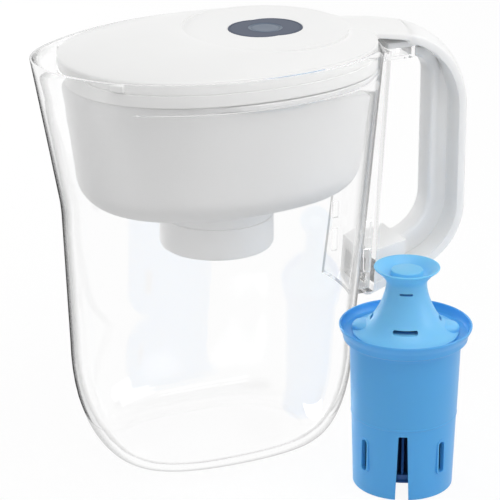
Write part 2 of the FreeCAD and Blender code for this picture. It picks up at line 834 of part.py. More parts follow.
# Lid: a skirt with a pillow crown, a flat disc, a tongue to the handle and two lugs

def lid_outline(height, inset=0.0, share=1.0):
    half_length = size.lid_half_length * share - inset
    half_width = size.lid_half_width * share - inset
    return oval(height, size.lid_middle, half_length, half_length, half_width,
                LID_NOSE_SQUARENESS, LID_SQUARENESS)


def crown_height(share):
    """Height of the crown where the lid's outline is scaled by a share."""
    return size.lid_edge_height + size.lid_crown * (1 - share ** CROWN_SQUARENESS)


CROWN_SHARES = (1.0, 0.93, 0.82, 0.66, 0.45, 0.2)

crown = loft("crown", [lid_outline(crown_height(share), 0.0, share) for share in CROWN_SHARES])
skirt = loft("skirt", [lid_outline(size.skirt_low), lid_outline(size.lid_edge_height)])
crown_inside = loft("crown_inside", [
    lid_outline(crown_height(share) - size.lid_wall, size.lid_wall, share)
    for share in CROWN_SHARES], True)
skirt_inside = loft("skirt_inside", [
    lid_outline(size.skirt_low - size.overrun, size.lid_wall),
    lid_outline(size.lid_edge_height - size.lid_wall, size.lid_wall)])
hopper_rim_inset = size.lid_wall + size.fit_gap
hopper_rim_inner = hopper_rim_inset + size.hopper_wall
lip_inset = hopper_rim_inner + size.fit_gap


def lid_ring(name, low, high, outer_inset, inner_inset):
    """An upright ring that follows the lid's outline between two insets."""
    outside = loft(name + "_outside", [lid_outline(low, outer_inset), lid_outline(high, outer_inset)])
    inside = loft(name + "_inside", [
        lid_outline(low - size.overrun, inner_inset), lid_outline(high + size.overrun, inner_inset)])
    return cut(name, outside, inside)


lid_seat = lid_ring("lid_seat", size.seat_height, size.lid_edge_height - size.lid_wall / 2,
                    size.lid_wall / 2, lip_inset + size.lip_wall)
lid_lip = lid_ring("lid_lip", size.lip_low, size.seat_height + size.lid_wall,
                   lip_inset, lip_inset + size.lip_wall)


def window_prism(name, grow, low, height):
    """An upright prism with the indicator's four-arc outline, grown by an amount."""
    half_length = size.window_half_length + grow
    half_width = size.window_half_width + grow
    end = size.window_end_radius + grow
    side = (half_length ** 2 - 2 * half_length * end + half_width ** 2) / (2 * (half_width - end))
    turn = math.degrees(math.atan2(side - half_width, half_length - end))

    def ring_at(level):
        arcs = []
        for middle_x, middle_y, radius, low_turn, high_turn in (
                (half_length - end, 0, end, -turn, turn),
                (0, half_width - side, side, turn, 180 - turn),
                (end - half_length, 0, end, 180 - turn, 180 + turn),
                (0, side - half_width, side, 180 + turn, 360 - turn)):
            middle = Vector(size.disc_x + middle_x, middle_y, level)
            circle = Part.Circle(middle, Vector(0, 0, 1), radius)
            arcs.append(Part.Arc(circle, math.radians(low_turn),
                                 math.radians(high_turn)).toShape())
        return Part.Wire(arcs)

    return prism(name, ring_at, low, height)


disc = rod("disc", "disc_x", "0", "disc_height - disc_thickness", "disc_radius",
           "disc_thickness")
disc_clearing = rod("disc_clearing", "disc_x", "0", "disc_height", "disc_radius", "lid_crown")
window_hole = window_prism("window_hole", size.bezel_wall + size.button_gap / 2,
                           "disc_height - disc_thickness - overrun",
                           "disc_thickness + overrun + overrun")


def lug(name, side):
    """A small rest lug on the skirt, over the pitcher's rim, square to the outline."""
    forward_share = size.lug_x / size.lid_half_length
    power = LID_NOSE_SQUARENESS
    side_share = (1 - forward_share ** power) ** (1 / power)
    angle = math.degrees(math.atan2(side_share ** (power - 1) / size.lid_half_width,
                                    -forward_share ** (power - 1) / size.lid_half_length))
    block = doc.addObject("Part::Box", name)
    bind(block, Width="lug_width", Height="lug_height", Length="lug_depth + lid_wall")
    turn = Rotation(Vector(0, 0, 1), side * angle)
    corner = Vector(-size.lid_wall, -size.lug_width / 2, 0)
    base = Vector(size.lid_middle - size.lug_x, side * side_share * size.lid_half_width, size.lug_low)
    block.Placement = Placement(base + turn.multVec(corner), turn)
    return block


lid_solid = fused("lid_solid", crown, skirt, tongue_band)
lid_room = fused("lid_room", crown_inside, skirt_inside)
lid_open = cut("lid_open", lid_solid, lid_room)
lid_parts = fused("lid_parts", lid_open, disc, lid_seat, lid_lip, lug("lug_left", -1),
                  lug("lug_right", 1))
lid_clearings = fused("lid_clearings", disc_clearing, window_hole)
lid_shell = cut("lid_shell", lid_parts, lid_clearings)


# Hopper: the tapered reservoir with a bead that rests on the pitcher's ledge

def hopper_inset_at(height):
    return size.hopper_inset + size.hopper_draft * (size.ledge_height - height)


def tapered_tub(name, extra, bottom, top, turns):
    """The tub in straight steps: its flat bottom, its rounded corner and its tapered wall."""
    corner = size.hopper_corner - extra
    wires = []
    for turn in turns:
        angle = math.radians(turn)
        height = bottom + corner * (1 - math.cos(angle))
        inset = hopper_inset_at(height) + extra + corner * (1 - math.sin(angle))
        wires.append(lid_outline(height, inset))
    wires.append(lid_outline(top, hopper_inset_at(top) + extra))
    return loft(name, wires, True)


bead_top = size.ledge_height + size.bead_height
hopper_outside = tapered_tub("hopper_outside", 0.0, size.hopper_bottom,
                             size.ledge_height + size.bead_height / 2, TUB_OUTSIDE_TURNS)
hopper_inside = tapered_tub("hopper_inside", size.hopper_wall,
                            size.hopper_bottom + size.hopper_wall, bead_top + size.overrun,
                            TUB_INSIDE_TURNS)
hopper_rim = loft("hopper_rim", [
    lid_outline(size.ledge_height + size.bead_height / 2, hopper_rim_inset),
    lid_outline(size.seat_height, hopper_rim_inset)])
hopper_rim_inside = loft("hopper_rim_inside", [
    lid_outline(size.ledge_height, hopper_rim_inner),
    lid_outline(size.seat_height + size.overrun, hopper_rim_inner)])


def bead_outline(height):
    """The bead stands proud at the sides and the back and sinks into the wall at the front."""
    return oval(height, size.lid_middle, size.lid_middle + size.bead_start,
                size.lid_half_length + size.bead_proud, size.lid_half_width + size.bead_proud,
                LID_SQUARENESS, LID_SQUARENESS)


bead = loft("bead", [bead_outline(size.ledge_height), bead_outline(bead_top)])
well_outside = rod("well_outside", "well_x", "0", "well_low",
                   "well_radius", "hopper_bottom - well_low + hopper_wall")
well_collar = rod("well_collar", "well_x", "0", "hopper_bottom",
                  "flange_radius + fit_gap + collar_wall", "hopper_wall + collar_height")
well_bore = rod("well_bore", "well_x", "0", "well_low - overrun", "well_radius - well_wall",
                "hopper_bottom - well_low + hopper_wall + overrun + overrun")
collar_bore = rod("collar_bore", "well_x", "0", "hopper_bottom + hopper_wall",
                  "flange_radius + fit_gap", "collar_height + overrun")
well_tip = doc.addObject("Part::Fillet", "well_tip")
well_tip.Base = well_outside
doc.recompute()
lower_edge = [k + 1 for k, edge in enumerate(well_outside.Shape.Edges)
              if edge.BoundBox.ZMax < size.well_low + size.fit_gap]
well_tip.Edges = [(k, size.well_edge, size.well_edge) for k in lower_edge]
groove_outside = rod("groove_outside", "well_x", "0", "well_step", "well_radius + overrun",
                     "well_step_depth")
groove_inside = rod("groove_inside", "well_x", "0", "well_step - overrun",
                    "well_radius - well_step_depth", "well_step_depth + overrun + overrun")
well_groove = cut("well_groove", groove_outside, groove_inside)
hopper_shell = cut("hopper_shell", fused("hopper_tub", hopper_outside, hopper_rim, bead),
                   fused("hopper_room", hopper_inside, hopper_rim_inside))
hopper_fittings = fused("hopper_fittings", hopper_shell, well_collar, well_tip)
hopper = cut("hopper", hopper_fittings, fused("hopper_bores", well_bore, collar_bore, well_groove))


# Filter life indicator in the lid

bezel_gap = size.button_gap / 2
indicator_bezel = cut(
    "indicator_bezel",
    window_prism("bezel_outside", size.bezel_wall, "disc_height - disc_thickness",
                 "disc_thickness + bezel_proud"),
    window_prism("bezel_inside", 0.0, "disc_height - disc_thickness - overrun",
                 "disc_thickness + bezel_proud + overrun + overrun"))

face_low = "disc_height - disc_thickness"
face_blank = window_prism("face_blank", -bezel_gap, face_low,
                          "face_height - disc_height + disc_thickness")
dish_radius = (size.window_half_length ** 2 + size.face_dish ** 2) / (2 * size.face_dish)
face_bowl = doc.addObject("Part::Cylinder", "face_bowl")
face_bowl.Radius = dish_radius
bind(face_bowl, Height="window_half_width + window_half_width")
face_bowl.Placement = Placement(
    Vector(size.disc_x, size.window_half_width, size.face_height - size.face_dish + dish_radius),
    Rotation(Vector(1, 0, 0), 90))
face_hole = rod("face_hole", "disc_x", "0", "disc_height - disc_thickness - overrun",
                "button_radius + button_gap", "disc_thickness + overrun + overrun")
indicator_face = cut("indicator_face", face_blank, fused("face_clearings", face_bowl, face_hole))

board_top = "board_low + board_thickness"
stem_low = board_top + " + switch_height + plunger_height + button_travel + seam_gap"
reset_button = turned("reset_button", (
    ("0", stem_low), ("stem_radius", stem_low),
    ("stem_radius", "button_height - button_thickness"),
    ("button_radius", "button_height - button_thickness"),
    ("button_radius", "button_height - button_gap"),
    ("button_radius - button_gap", "button_height"),
    ("stem_radius + stem_radius", "button_height - button_gap"),
    ("0", "button_height - button_gap - button_gap")))

return_dome = turned("return_dome", (
    ("dome_radius", board_top),
    ("dome_radius + dome_wall", board_top),
    ("stem_radius + button_gap + dome_wall + dome_wall", "button_height - button_thickness"),
    ("stem_radius + button_gap + dome_wall", "button_height - button_thickness")))

circuit_board = window_prism("circuit_board", -size.pod_wall - size.seam_gap, "board_low",
                             "board_thickness")

switch_block = box("switch_block", "disc_x - plunger_radius - button_gap - bezel_wall",
                   "0 - plunger_radius - button_gap - bezel_wall", board_top,
                   "switch_width", "switch_width", "switch_height")
switch_plunger = rod("switch_plunger", "disc_x", "0", board_top,
                     "plunger_radius", "switch_height + plunger_height")
reset_switch = fused("reset_switch", switch_block, switch_plunger)

lights = []
for name, sign in (("light_left", "-"), ("light_right", "+")):
    lights.append(box(name, "disc_x %s light_spacing" % sign, "0", board_top,
                      "light_width", "light_length", "light_height"))
status_lights = doc.addObject("Part::Compound", "status_lights")
status_lights.Links = lights

cell_low = "pod_low - gasket_thickness + contact_thickness"
cell_top = cell_low + " + cell_thickness"
coin_cell = rod("coin_cell", "disc_x", "0", cell_low, "cell_radius", "cell_thickness")
contact_lower = box("contact_lower", "disc_x - contact_width", "0 - contact_width",
                    "pod_low - gasket_thickness", "contact_length",
                    "contact_width + contact_width", "contact_thickness")
contact_plate = box("contact_plate", "disc_x - contact_width", "0 - contact_width", cell_top,
                    "contact_length", "contact_width", "contact_thickness")
contact_post = box("contact_post", "disc_x - contact_width", "0 - contact_width",
                   cell_top, "contact_thickness", "contact_width",
                   "board_low - pod_low + gasket_thickness - contact_thickness - cell_thickness")
contact_upper = fused("contact_upper", contact_plate, contact_post)
battery_contacts = doc.addObject("Part::Compound", "battery_contacts")
battery_contacts.Links = [contact_lower, contact_upper]

pod_top = "disc_height - disc_thickness"
pod_walls = window_prism("pod_walls", 0.0, "pod_low", pod_top + " - pod_low")
pod_rim = window_prism("pod_rim", size.pod_flange, pod_top + " - pod_flange_thickness",
                       "pod_flange_thickness")
pod_room = window_prism("pod_room", -size.pod_wall, "pod_low - overrun",
                        pod_top + " - pod_low + overrun + overrun")
ledge_block = window_prism("ledge_block", -size.pod_wall / 2, "board_low - board_thickness",
                           "board_thickness")
ledge_room = window_prism("ledge_room", -size.pod_wall - size.board_ledge,
                          "board_low - board_thickness - overrun", "board_thickness + overrun + overrun")
ears = []
holes = []
for name, sign in (("ear_left", "-"), ("ear_right", "+")):
    ears.append(rod(name, "disc_x %s screw_spacing" % sign, "0", "pod_low", "screw_ear_radius",
                    pod_top + " - pod_low - pod_flange_thickness"))
    holes.append(rod(name + "_hole", "disc_x %s screw_spacing" % sign, "0",
                     "pod_low - gasket_thickness - cover_thickness - overrun", "screw_radius",
                     "screw_length + overrun"))
pod_blank = cut("pod_blank", fused("pod_mass", pod_walls, pod_rim, *ears), pod_room)
pod_with_ledge = fused("pod_with_ledge", pod_blank, cut("board_shelf", ledge_block, ledge_room))
indicator_housing = cut("indicator_housing", pod_with_ledge, fused("pod_holes", *holes))


def base_plate(name, low, height):
    """A flat plate with the pod's outline and two screw ears."""
    parts = [window_prism(name + "_oval", 0.0, low, height)]
    drilled = []
    for tag, sign in (("left", "-"), ("right", "+")):
        parts.append(rod("%s_ear_%s" % (name, tag), "disc_x %s screw_spacing" % sign, "0", low,
                         "screw_ear_radius", height))
        drilled.append(rod("%s_hole_%s" % (name, tag), "disc_x %s screw_spacing" % sign, "0",
                           low + " - overrun", "screw_radius", height + " + overrun + overrun"))
    return parts, drilled


cover_parts, cover_holes = base_plate("cover", "pod_low - gasket_thickness - cover_thickness",
                                      "cover_thickness")
housing_cover = cut("housing_cover", fused("cover_mass", *cover_parts),
                    fused("cover_drills", *cover_holes))
gasket_parts, gasket_holes = base_plate("gasket", "pod_low - gasket_thickness",
                                        "gasket_thickness")
gasket_room = window_prism("gasket_room", -size.pod_wall, "pod_low - gasket_thickness - overrun",
                           "gasket_thickness + overrun + overrun")
housing_gasket = cut("housing_gasket", fused("gasket_mass", *gasket_parts),
                     fused("gasket_drills", gasket_room, *gasket_holes))

screws = []
for name, sign in (("screw_left", "-"), ("screw_right", "+")):
    head = rod(name + "_head", "disc_x %s screw_spacing" % sign, "0",
               "pod_low - gasket_thickness - cover_thickness - screw_head_height",
               "screw_head_radius", "screw_head_height")
    shank = rod(name + "_shank", "disc_x %s screw_spacing" % sign, "0",
                "pod_low - gasket_thickness - cover_thickness - screw_head_height",
                "screw_radius", "screw_head_height + screw_length")
    screws.append(fused(name, head, shank))
housing_screws = doc.addObject("Part::Compound", "housing_screws")
housing_screws.Links = screws

# Filter cartridge: turned housing with windows, a knobbed cap and a pleated element

filter_housing = turned("filter_housing", (
    ("filter_foot_radius", "0"),
    ("filter_foot_radius + band_depth", "band_height - band_width - band_width"),
    ("filter_foot_radius + band_depth + band_depth", "band_height - band_width"),
    ("filter_foot_radius + band_depth + band_depth + band_depth", "band_height"),
    ("filter_foot_radius + band_depth + band_depth", "band_height + band_width"),
    ("filter_body_radius", "filter_body_top"),
    ("flange_step_radius", "flange_low - flange_rim"),
    ("flange_radius - flange_rim", "flange_low - flange_rim"),
    ("flange_radius", "flange_low"),
    ("flange_radius", "flange_top"),
    ("flange_radius - flange_rim", "flange_top"),
    ("flange_radius - flange_rim", "flange_floor"),
    ("filter_bore_radius", "flange_floor"),
    ("filter_bore_radius", "band_height"),
    ("filter_foot_radius - filter_wall", "band_height"),
    ("filter_foot_radius - filter_wall", "media_low"),
    ("filter_foot_radius - filter_wall - inner_ledge - inner_ledge", "media_low"),
    ("filter_foot_radius - filter_wall - inner_ledge - inner_ledge", "media_low - inner_ledge"),
    ("filter_foot_radius - filter_wall", "media_low - inner_ledge"),
    ("filter_foot_radius - filter_wall", "0")))

filter_cap = turned("filter_cap", (
    ("cap_foot_radius", "flange_floor"),
    ("cap_foot_radius", "flange_floor + cap_foot_thickness"),
    ("cap_shoulder_radius", "cap_shoulder_height"),
    ("cap_flare_radius", "cap_flare_height"),
    ("cap_slope_radius", "cap_slope_height"),
    ("neck_radius", "neck_height"),
    ("neck_radius", "neck_top"),
    ("knob_radius", "knob_top - knob_lip"),
    ("knob_radius", "knob_top"),
    ("knob_radius - knob_lip", "knob_top"),
    ("knob_dish_radius", "knob_dish_height"),
    ("plug_radius", "knob_dish_height"),
    ("plug_radius", "plug_top - knob_lip"),
    ("plug_radius - knob_lip", "plug_top"),
    ("0", "plug_top"),
    ("0", "plug_top - cap_wall"),
    ("plug_radius - cap_wall", "plug_top - cap_wall"),
    ("plug_radius - cap_wall", "cap_slope_height - cap_wall"),
    ("cap_slope_radius - cap_wall", "cap_slope_height - cap_wall"),
    ("cap_slope_radius - cap_wall", "cap_flare_height - cap_wall"),
    ("cap_flare_radius - cap_wall", "cap_flare_height - cap_wall"),
    ("cap_flare_radius - cap_wall", "cap_shoulder_height - cap_wall"),
    ("cap_shoulder_radius - cap_wall - cap_wall", "cap_shoulder_height - cap_wall"),
    ("cap_shoulder_radius - cap_wall - cap_wall", "flange_floor")))


def turned_pocket(body, name, corners, angle=0.0):
    """A pocket from the axis out through the front wall, turned about the body's axis."""
    pocket = side_pocket(body, name, corners)
    pocket.Profile[0].AttachmentOffset = Placement(Vector(), Rotation(Vector(0, 1, 0), angle))
    pocket.Reversed = True
    return pocket


def upright_slot(half_width, low, high):
    """Corners of a rectangle about the middle line."""
    return (("0 - " + half_width, low), (half_width, low),
            (half_width, high), ("0 - " + half_width, high))


def repeated(body, name, originals, count):
    """The features again, evenly round the body's axis."""
    pattern = body.newObject("PartDesign::PolarPattern", name)
    pattern.Originals = originals
    pattern.Axis = (plane_of(body, "Z_Axis"), [""])
    pattern.Angle = 360.0
    pattern.Occurrences = count
    body.Tip = pattern
    return pattern


notch = turned_pocket(filter_housing, "notch", (
    ("0 - notch_foot_half_width", "0 - overrun"), ("notch_foot_half_width", "0 - overrun"),
    ("notch_top_half_width", "notch_top"), ("0 - notch_top_half_width", "notch_top")))
side_slot = upright_slot("slot_half_width", "slot_low", "slot_high")
slot_left = turned_pocket(filter_housing, "slot_left", side_slot, size.slot_angle)
slot_right = turned_pocket(filter_housing, "slot_right", side_slot, -size.slot_angle)
repeated(filter_housing, "openings", [notch, slot_left, slot_right], 2)

vent = turned_pocket(filter_cap, "vent", upright_slot(
    "vent_half_width", "vent_low", "vent_low + vent_height"))
foot_slot = turned_pocket(filter_cap, "foot_slot", upright_slot(
    "foot_slot_half_width", "flange_floor + cap_foot_thickness",
    "flange_floor + cap_foot_thickness + foot_slot_height"))
neck_slot = turned_pocket(filter_cap, "neck_slot", upright_slot(
    "neck_slot_half_width", "neck_slot_low", "neck_slot_low + neck_slot_height"))
repeated(filter_cap, "vents", [vent, foot_slot, neck_slot], 2)

pad_sketch = new_sketch(filter_cap, "pad_sketch", "XY_Plane")
pad_sketch.AttachmentOffset = Placement(Vector(0, 0, size.flange_floor), Rotation())
pad_ring = Part.Circle(Vector(size.pad_out, 0, 0), Vector(0, 0, 1), size.pad_radius)
pad_sketch.addGeometry(pad_ring, False)
pad_sketch.addConstraint(Sketcher.Constraint("PointOnObject", 0, 3, -1))
pad_sketch.addConstraint(Sketcher.Constraint("DistanceX", -1, 1, 0, 3, size.pad_out))
pad_sketch.addConstraint(Sketcher.Constraint("Radius", 0, size.pad_radius))
pad_sketch.setExpression("Constraints[1]", bound("pad_out"))
pad_sketch.setExpression("Constraints[2]", bound("pad_radius"))
vent_pad = filter_cap.newObject("PartDesign::Pad", "vent_pad")
vent_pad.Profile = pad_sketch
bind(vent_pad, Length="pad_top - flange_floor")
pad_slot = side_pocket(filter_cap, "pad_slot", (
    ("pad_slot_out - pad_slot_half_width", "0 - pad_slot_half_length"),
    ("pad_slot_out + pad_slot_half_width", "0 - pad_slot_half_length"),
    ("pad_slot_out + pad_slot_half_width", "pad_slot_half_length"),
    ("pad_slot_out - pad_slot_half_width", "pad_slot_half_length")), True, "XY_Plane")
repeated(filter_cap, "vent_pads", [vent_pad, pad_slot], 2)

# Pleated element: one fold of filter paper, repeated round the axis

media_foot = "media_low + screen_thickness + media_cap_thickness"
filter_media = doc.addObject("PartDesign::Body", "filter_media")
pleat_sketch = new_sketch(filter_media, "pleat_sketch", "XY_Plane")
pitch = 360.0 / PLEATS
fold_corners = (
    ("media_inner_radius", -0.5), ("media_inner_radius", PLEAT_VALLEY_SHARE - 0.5),
    ("media_radius - fold_thickness", 0.0), ("media_inner_radius", 0.5 - PLEAT_VALLEY_SHARE),
    ("media_inner_radius", 0.5), ("media_inner_radius + fold_thickness", 0.5),
    ("media_radius", PLEAT_RIDGE_SHARE), ("media_radius", -PLEAT_RIDGE_SHARE),
    ("media_inner_radius + fold_thickness", -0.5))
fold_places = [Vector(amount(radius) * math.cos(math.radians(share * pitch)),
                      amount(radius) * math.sin(math.radians(share * pitch)), 0)
               for radius, share in fold_corners]
for k, place_here in enumerate(fold_places):
    following = fold_places[(k + 1) % len(fold_places)]
    pleat_sketch.addGeometry(Part.LineSegment(place_here, following), False)
for k, (radius, share) in enumerate(fold_corners):
    previous = (k - 1) % len(fold_corners)
    pleat_sketch.addConstraint(Sketcher.Constraint("Coincident", previous, 2, k, 1))
    for kind, trig, value in (("DistanceX", "cos", fold_places[k].x),
                              ("DistanceY", "sin", fold_places[k].y)):
        if share == 0.0 and kind == "DistanceY":
            pleat_sketch.addConstraint(Sketcher.Constraint("PointOnObject", k, 1, -1))
        else:
            index = pleat_sketch.addConstraint(Sketcher.Constraint(kind, -1, 1, k, 1, value))
            words = "(%s) * %s(%s)" % (bound(radius), trig, repr(share * pitch))
            pleat_sketch.setExpression("Constraints[%d]" % index, words)
pleat = filter_media.newObject("PartDesign::Pad", "pleat")
pleat.Profile = pleat_sketch
bind(pleat, Length="media_high - media_low - screen_thickness - media_cap_thickness")
repeated(filter_media, "pleats", [pleat], PLEATS)
filter_media.setExpression("Placement.Base.z", bound(media_foot))

base_screen = turned("base_screen", (
    ("0", "media_low"), ("filter_foot_radius - filter_wall - fit_gap", "media_low"),
    ("filter_foot_radius - filter_wall - fit_gap", "media_low + screen_thickness"),
    ("0", "media_low + screen_thickness")))
media_bottom_cap = turned("media_bottom_cap", (
    ("0", "media_low + screen_thickness"), ("media_cap_radius", "media_low + screen_thickness"),
    ("media_cap_radius", media_foot + " + media_cap_rim"),
    ("media_cap_radius - media_cap_wall", media_foot + " + media_cap_rim"),
    ("media_cap_radius - media_cap_wall", media_foot), ("0", media_foot)))
media_top_cap = turned("media_top_cap", (
    ("media_inner_radius - fit_gap - core_wall", "media_high"),
    ("media_cap_radius - media_cap_wall", "media_high"),
    ("media_cap_radius - media_cap_wall", "media_high - media_cap_rim"),
    ("media_cap_radius", "media_high - media_cap_rim"), ("media_cap_radius", "media_high"),
    ("filter_bore_radius - fit_gap", "media_high"),
    ("filter_bore_radius - fit_gap", "media_high + media_cap_thickness"),
    ("media_inner_radius - fit_gap - core_wall", "media_high + media_cap_thickness")))
top_screen = turned("top_screen", (
    ("0", "media_high + media_cap_thickness"),
    ("filter_bore_radius - fit_gap", "media_high + media_cap_thickness"),
    ("filter_bore_radius - fit_gap", "media_high + media_cap_thickness + screen_thickness"),
    ("0", "media_high + media_cap_thickness + screen_thickness")))
filter_core = turned("filter_core", (
    ("media_inner_radius - fit_gap - core_wall", media_foot),
    ("media_inner_radius - fit_gap", media_foot),
    ("media_inner_radius - fit_gap", "media_high"),
    ("media_inner_radius - fit_gap - core_wall", "media_high")))
core_slot = turned_pocket(filter_core, "core_slot", upright_slot(
    "core_slot_half_width", media_foot + " + core_slot_margin", "media_high - core_slot_margin"))
repeated(filter_core, "core_slots", [core_slot], CORE_SLOTS)

# The button parts stand on the disc's axis, and the cartridge stands beside the pitcher

for thing in (reset_button, return_dome):
    thing.setExpression("Placement.Base.x", bound("disc_x"))
filter_pieces = (filter_housing, filter_cap, filter_media, media_top_cap, media_bottom_cap,
                 filter_core, top_screen, base_screen)
for thing in filter_pieces:
    thing.Placement = Placement(Vector(size.filter_x, size.filter_y, thing.Placement.Base.z),
                                Rotation(Vector(0, 0, 1), size.filter_turn))
    thing.setExpression("Placement.Base.x", bound("filter_x"))
    thing.setExpression("Placement.Base.y", bound("filter_y"))

doc.recompute()

# Checks, labels and files

sub_parts = (
    pitcher_body, handle, hopper, lid_shell, indicator_bezel, indicator_face, indicator_housing,
    housing_cover, housing_gasket, housing_screws, circuit_board, reset_switch, status_lights,
    coin_cell, battery_contacts, reset_button, return_dome) + filter_pieces

for thing in doc.Objects:
    if "Invalid" in thing.State or "Error" in thing.State:
        raise RuntimeError("%s failed: %s" % (thing.Name, thing.State))

os.makedirs("parts", exist_ok=True)
for thing in sub_parts:
    shape = thing.Shape
    if shape.isNull() or not shape.isValid():
        raise RuntimeError("%s has no valid shape" % thing.Name)
    thing.Label = thing.Name
    shape.exportStep("parts/%s.step" % thing.Label)
    print("%-20s %d solids  %9.0f mm3" % (thing.Label, len(shape.Solids), shape.Volume))
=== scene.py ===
# %% [markdown]
# # A water filter pitcher, dressed in Blender
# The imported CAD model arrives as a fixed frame: one mesh per physical piece, grouped into bodies
# that move. Here every piece gets its finish, and the pieces whose softness matters most, such as
# the clear vessel and the lid, are made again as smooth skins on the same bodies. They follow the
# CAD measures, apart from a few that were read more closely from the photograph afterwards.

# %%
import bpy
import bmesh
import math
from mathutils import Matrix, Vector


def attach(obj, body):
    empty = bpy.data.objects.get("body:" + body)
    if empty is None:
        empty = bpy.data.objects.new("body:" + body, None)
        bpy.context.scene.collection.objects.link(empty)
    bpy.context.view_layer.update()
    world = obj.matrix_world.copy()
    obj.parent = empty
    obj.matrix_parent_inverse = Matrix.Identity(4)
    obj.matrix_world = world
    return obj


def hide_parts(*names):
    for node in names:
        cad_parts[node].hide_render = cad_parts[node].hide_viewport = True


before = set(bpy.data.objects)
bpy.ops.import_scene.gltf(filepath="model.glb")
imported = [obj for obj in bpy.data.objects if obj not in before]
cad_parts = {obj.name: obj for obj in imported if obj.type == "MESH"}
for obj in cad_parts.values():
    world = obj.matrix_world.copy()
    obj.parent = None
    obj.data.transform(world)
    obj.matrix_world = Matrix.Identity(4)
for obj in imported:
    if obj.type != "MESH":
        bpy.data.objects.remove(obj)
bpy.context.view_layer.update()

# %% [markdown]
# All sizes below are written in millimetres, because that is how such a moulding is drawn. Blender
# counts in metres, so each mesh is scaled once when it is built. A body is an empty that the frame
# made: a piece that rides on it follows its joint.

# %% Measures shared by many pieces
MM = 0.001
AROUND = 128
QUARTER = AROUND // 4
BODY_MIDDLE = 5.0
LID_MIDDLE, LID_HALF_LENGTH, LID_HALF_WIDTH = 5.8, 91.8, 68.4
LID_EDGE, LID_CROWN = 240.0, 8.2
NOSE_SQUARENESS, TAIL_SQUARENESS = 2.2, 2.26
DISC_X, DISC_RADIUS, DISC_TOP, DISC_LOW = 34.7, 47.0, 246.4, 244.2
WELL_X = 4.0


def between(low, high, share):
    return low + (high - low) * share


print("lid:", 2 * LID_HALF_LENGTH, "mm long and", 2 * LID_HALF_WIDTH, "mm wide")

# %% [markdown]
# The pitcher seen from above is neither a circle nor an ellipse. Its outline is four Bezier
# quarters, and one number says how square each quarter is. The lid, the hopper and the vessel
# all use this one helper, so that they nest inside one another.

# %% Oval outlines
def quarter_point(along, across, squareness, share):
    """A point of a quarter oval, from its end on the X axis to its widest place."""
    pull = (8 * 2 ** (-1 / squareness) - 4) / 3
    rest = 1 - share
    x = along * (rest ** 3 + 3 * rest ** 2 * share) + along * pull * 3 * rest * share ** 2
    y = across * pull * 3 * rest ** 2 * share + across * (3 * rest * share ** 2 + share ** 3)
    return x, y


def oval_point(k, middle, front, back, half_width, nose, tail):
    """Point k of AROUND points, counted from the back end round by the left side."""
    quadrant, step = divmod(k % AROUND, QUARTER)
    share = step / QUARTER
    if quadrant in (1, 3):
        share = 1 - share
    if quadrant in (0, 3):
        x, y = quarter_point(back, half_width, tail, share)
    else:
        x, y = quarter_point(-front, half_width, nose, share)
    return middle + x, y if quadrant in (0, 1) else -y


def ring_circle(middle_x, radius, level):
    """A circle with as many points as every oval."""
    return [Vector((middle_x + radius * math.cos(math.tau * k / AROUND),
                    radius * math.sin(math.tau * k / AROUND), level)) for k in range(AROUND)]


def ring_oval(front, back, half_width, level):
    """A level oval round the lid's middle, as square as the lid."""
    points = [oval_point(k, LID_MIDDLE, front, back, half_width, NOSE_SQUARENESS, TAIL_SQUARENESS)
              for k in range(AROUND)]
    return [Vector((x, y, level)) for x, y in points]


def ring_lid(inset, level):
    """The lid's outline, drawn in by an inset."""
    half_length = LID_HALF_LENGTH - inset
    return ring_oval(half_length, half_length, LID_HALF_WIDTH - inset, level)


lid_tip = ring_lid(0, 0)[QUARTER * 2].x
print("outline of", AROUND, "points; the lid's tip lies at x", round(lid_tip, 2))

# %% [markdown]
# A moulded shell is a stack of closed rings. Bridging them one after the other gives a clean mesh
# of four-sided faces, which shades smoothly. Where the last ring meets the first, the shell has an
# inside and an outside, like a real wall.

# %% Skins from rings
def finish_mesh(piece, sharp_angle=32):
    """Smooth shading, with edges left crisp where the surface turns sharply."""
    edit = bmesh.new()
    edit.from_mesh(piece.data)
    bmesh.ops.remove_doubles(edit, verts=edit.verts, dist=0.00001)
    bmesh.ops.recalc_face_normals(edit, faces=edit.faces)
    edit.to_mesh(piece.data)
    edit.free()
    piece.data.shade_smooth()
    piece.data.set_sharp_from_angle(angle=math.radians(sharp_angle))
    return piece


def new_piece(name, points, faces):
    mesh = bpy.data.meshes.new(name)
    mesh.from_pydata([Vector(p) * MM for p in points], [], faces)
    piece = bpy.data.objects.new(name, mesh)
    bpy.context.scene.collection.objects.link(piece)
    return piece


def skin(name, rings, joined=False, sharp_angle=32):
    """A mesh through a stack of rings, capped at both ends or joined into a closed wall."""
    points = [p for ring in rings for p in ring]
    size = len(rings[0])
    faces = []
    for row in range(len(rings) if joined else len(rings) - 1):
        low, high = row * size, (row + 1) % len(rings) * size
        for k in range(size):
            following = (k + 1) % size
            faces.append((low + k, low + following, high + following, high + k))
    if not joined:
        faces.append(tuple(range(size))[::-1])
        faces.append(tuple(range(len(points) - size, len(points))))
    return finish_mesh(new_piece(name, points, faces), sharp_angle)


print("smooth skins have", AROUND, "points in each ring")

# %% [markdown]
# Straight forms are slabs, and booleans add them or cut with them. Each result is kept at once as a
# plain mesh, so that the next cut has nothing to wait for, and the tool is thrown away. The small
# radius on the edges stays a modifier, because it has to come after the last cut.

# %% Slabs, cuts and rounded edges
def carve(piece, tool, how="DIFFERENCE"):
    """Apply one solid to another and throw the tool away."""
    change = piece.modifiers.new("carve", "BOOLEAN")
    change.object = tool
    change.operation = how
    change.solver = "EXACT"
    bpy.context.view_layer.update()
    shaped = piece.evaluated_get(bpy.context.evaluated_depsgraph_get())
    mesh = bpy.data.meshes.new_from_object(shaped)
    piece.modifiers.clear()
    old, piece.data = piece.data, mesh
    bpy.data.meshes.remove(old)
    bpy.data.objects.remove(tool)
    return piece


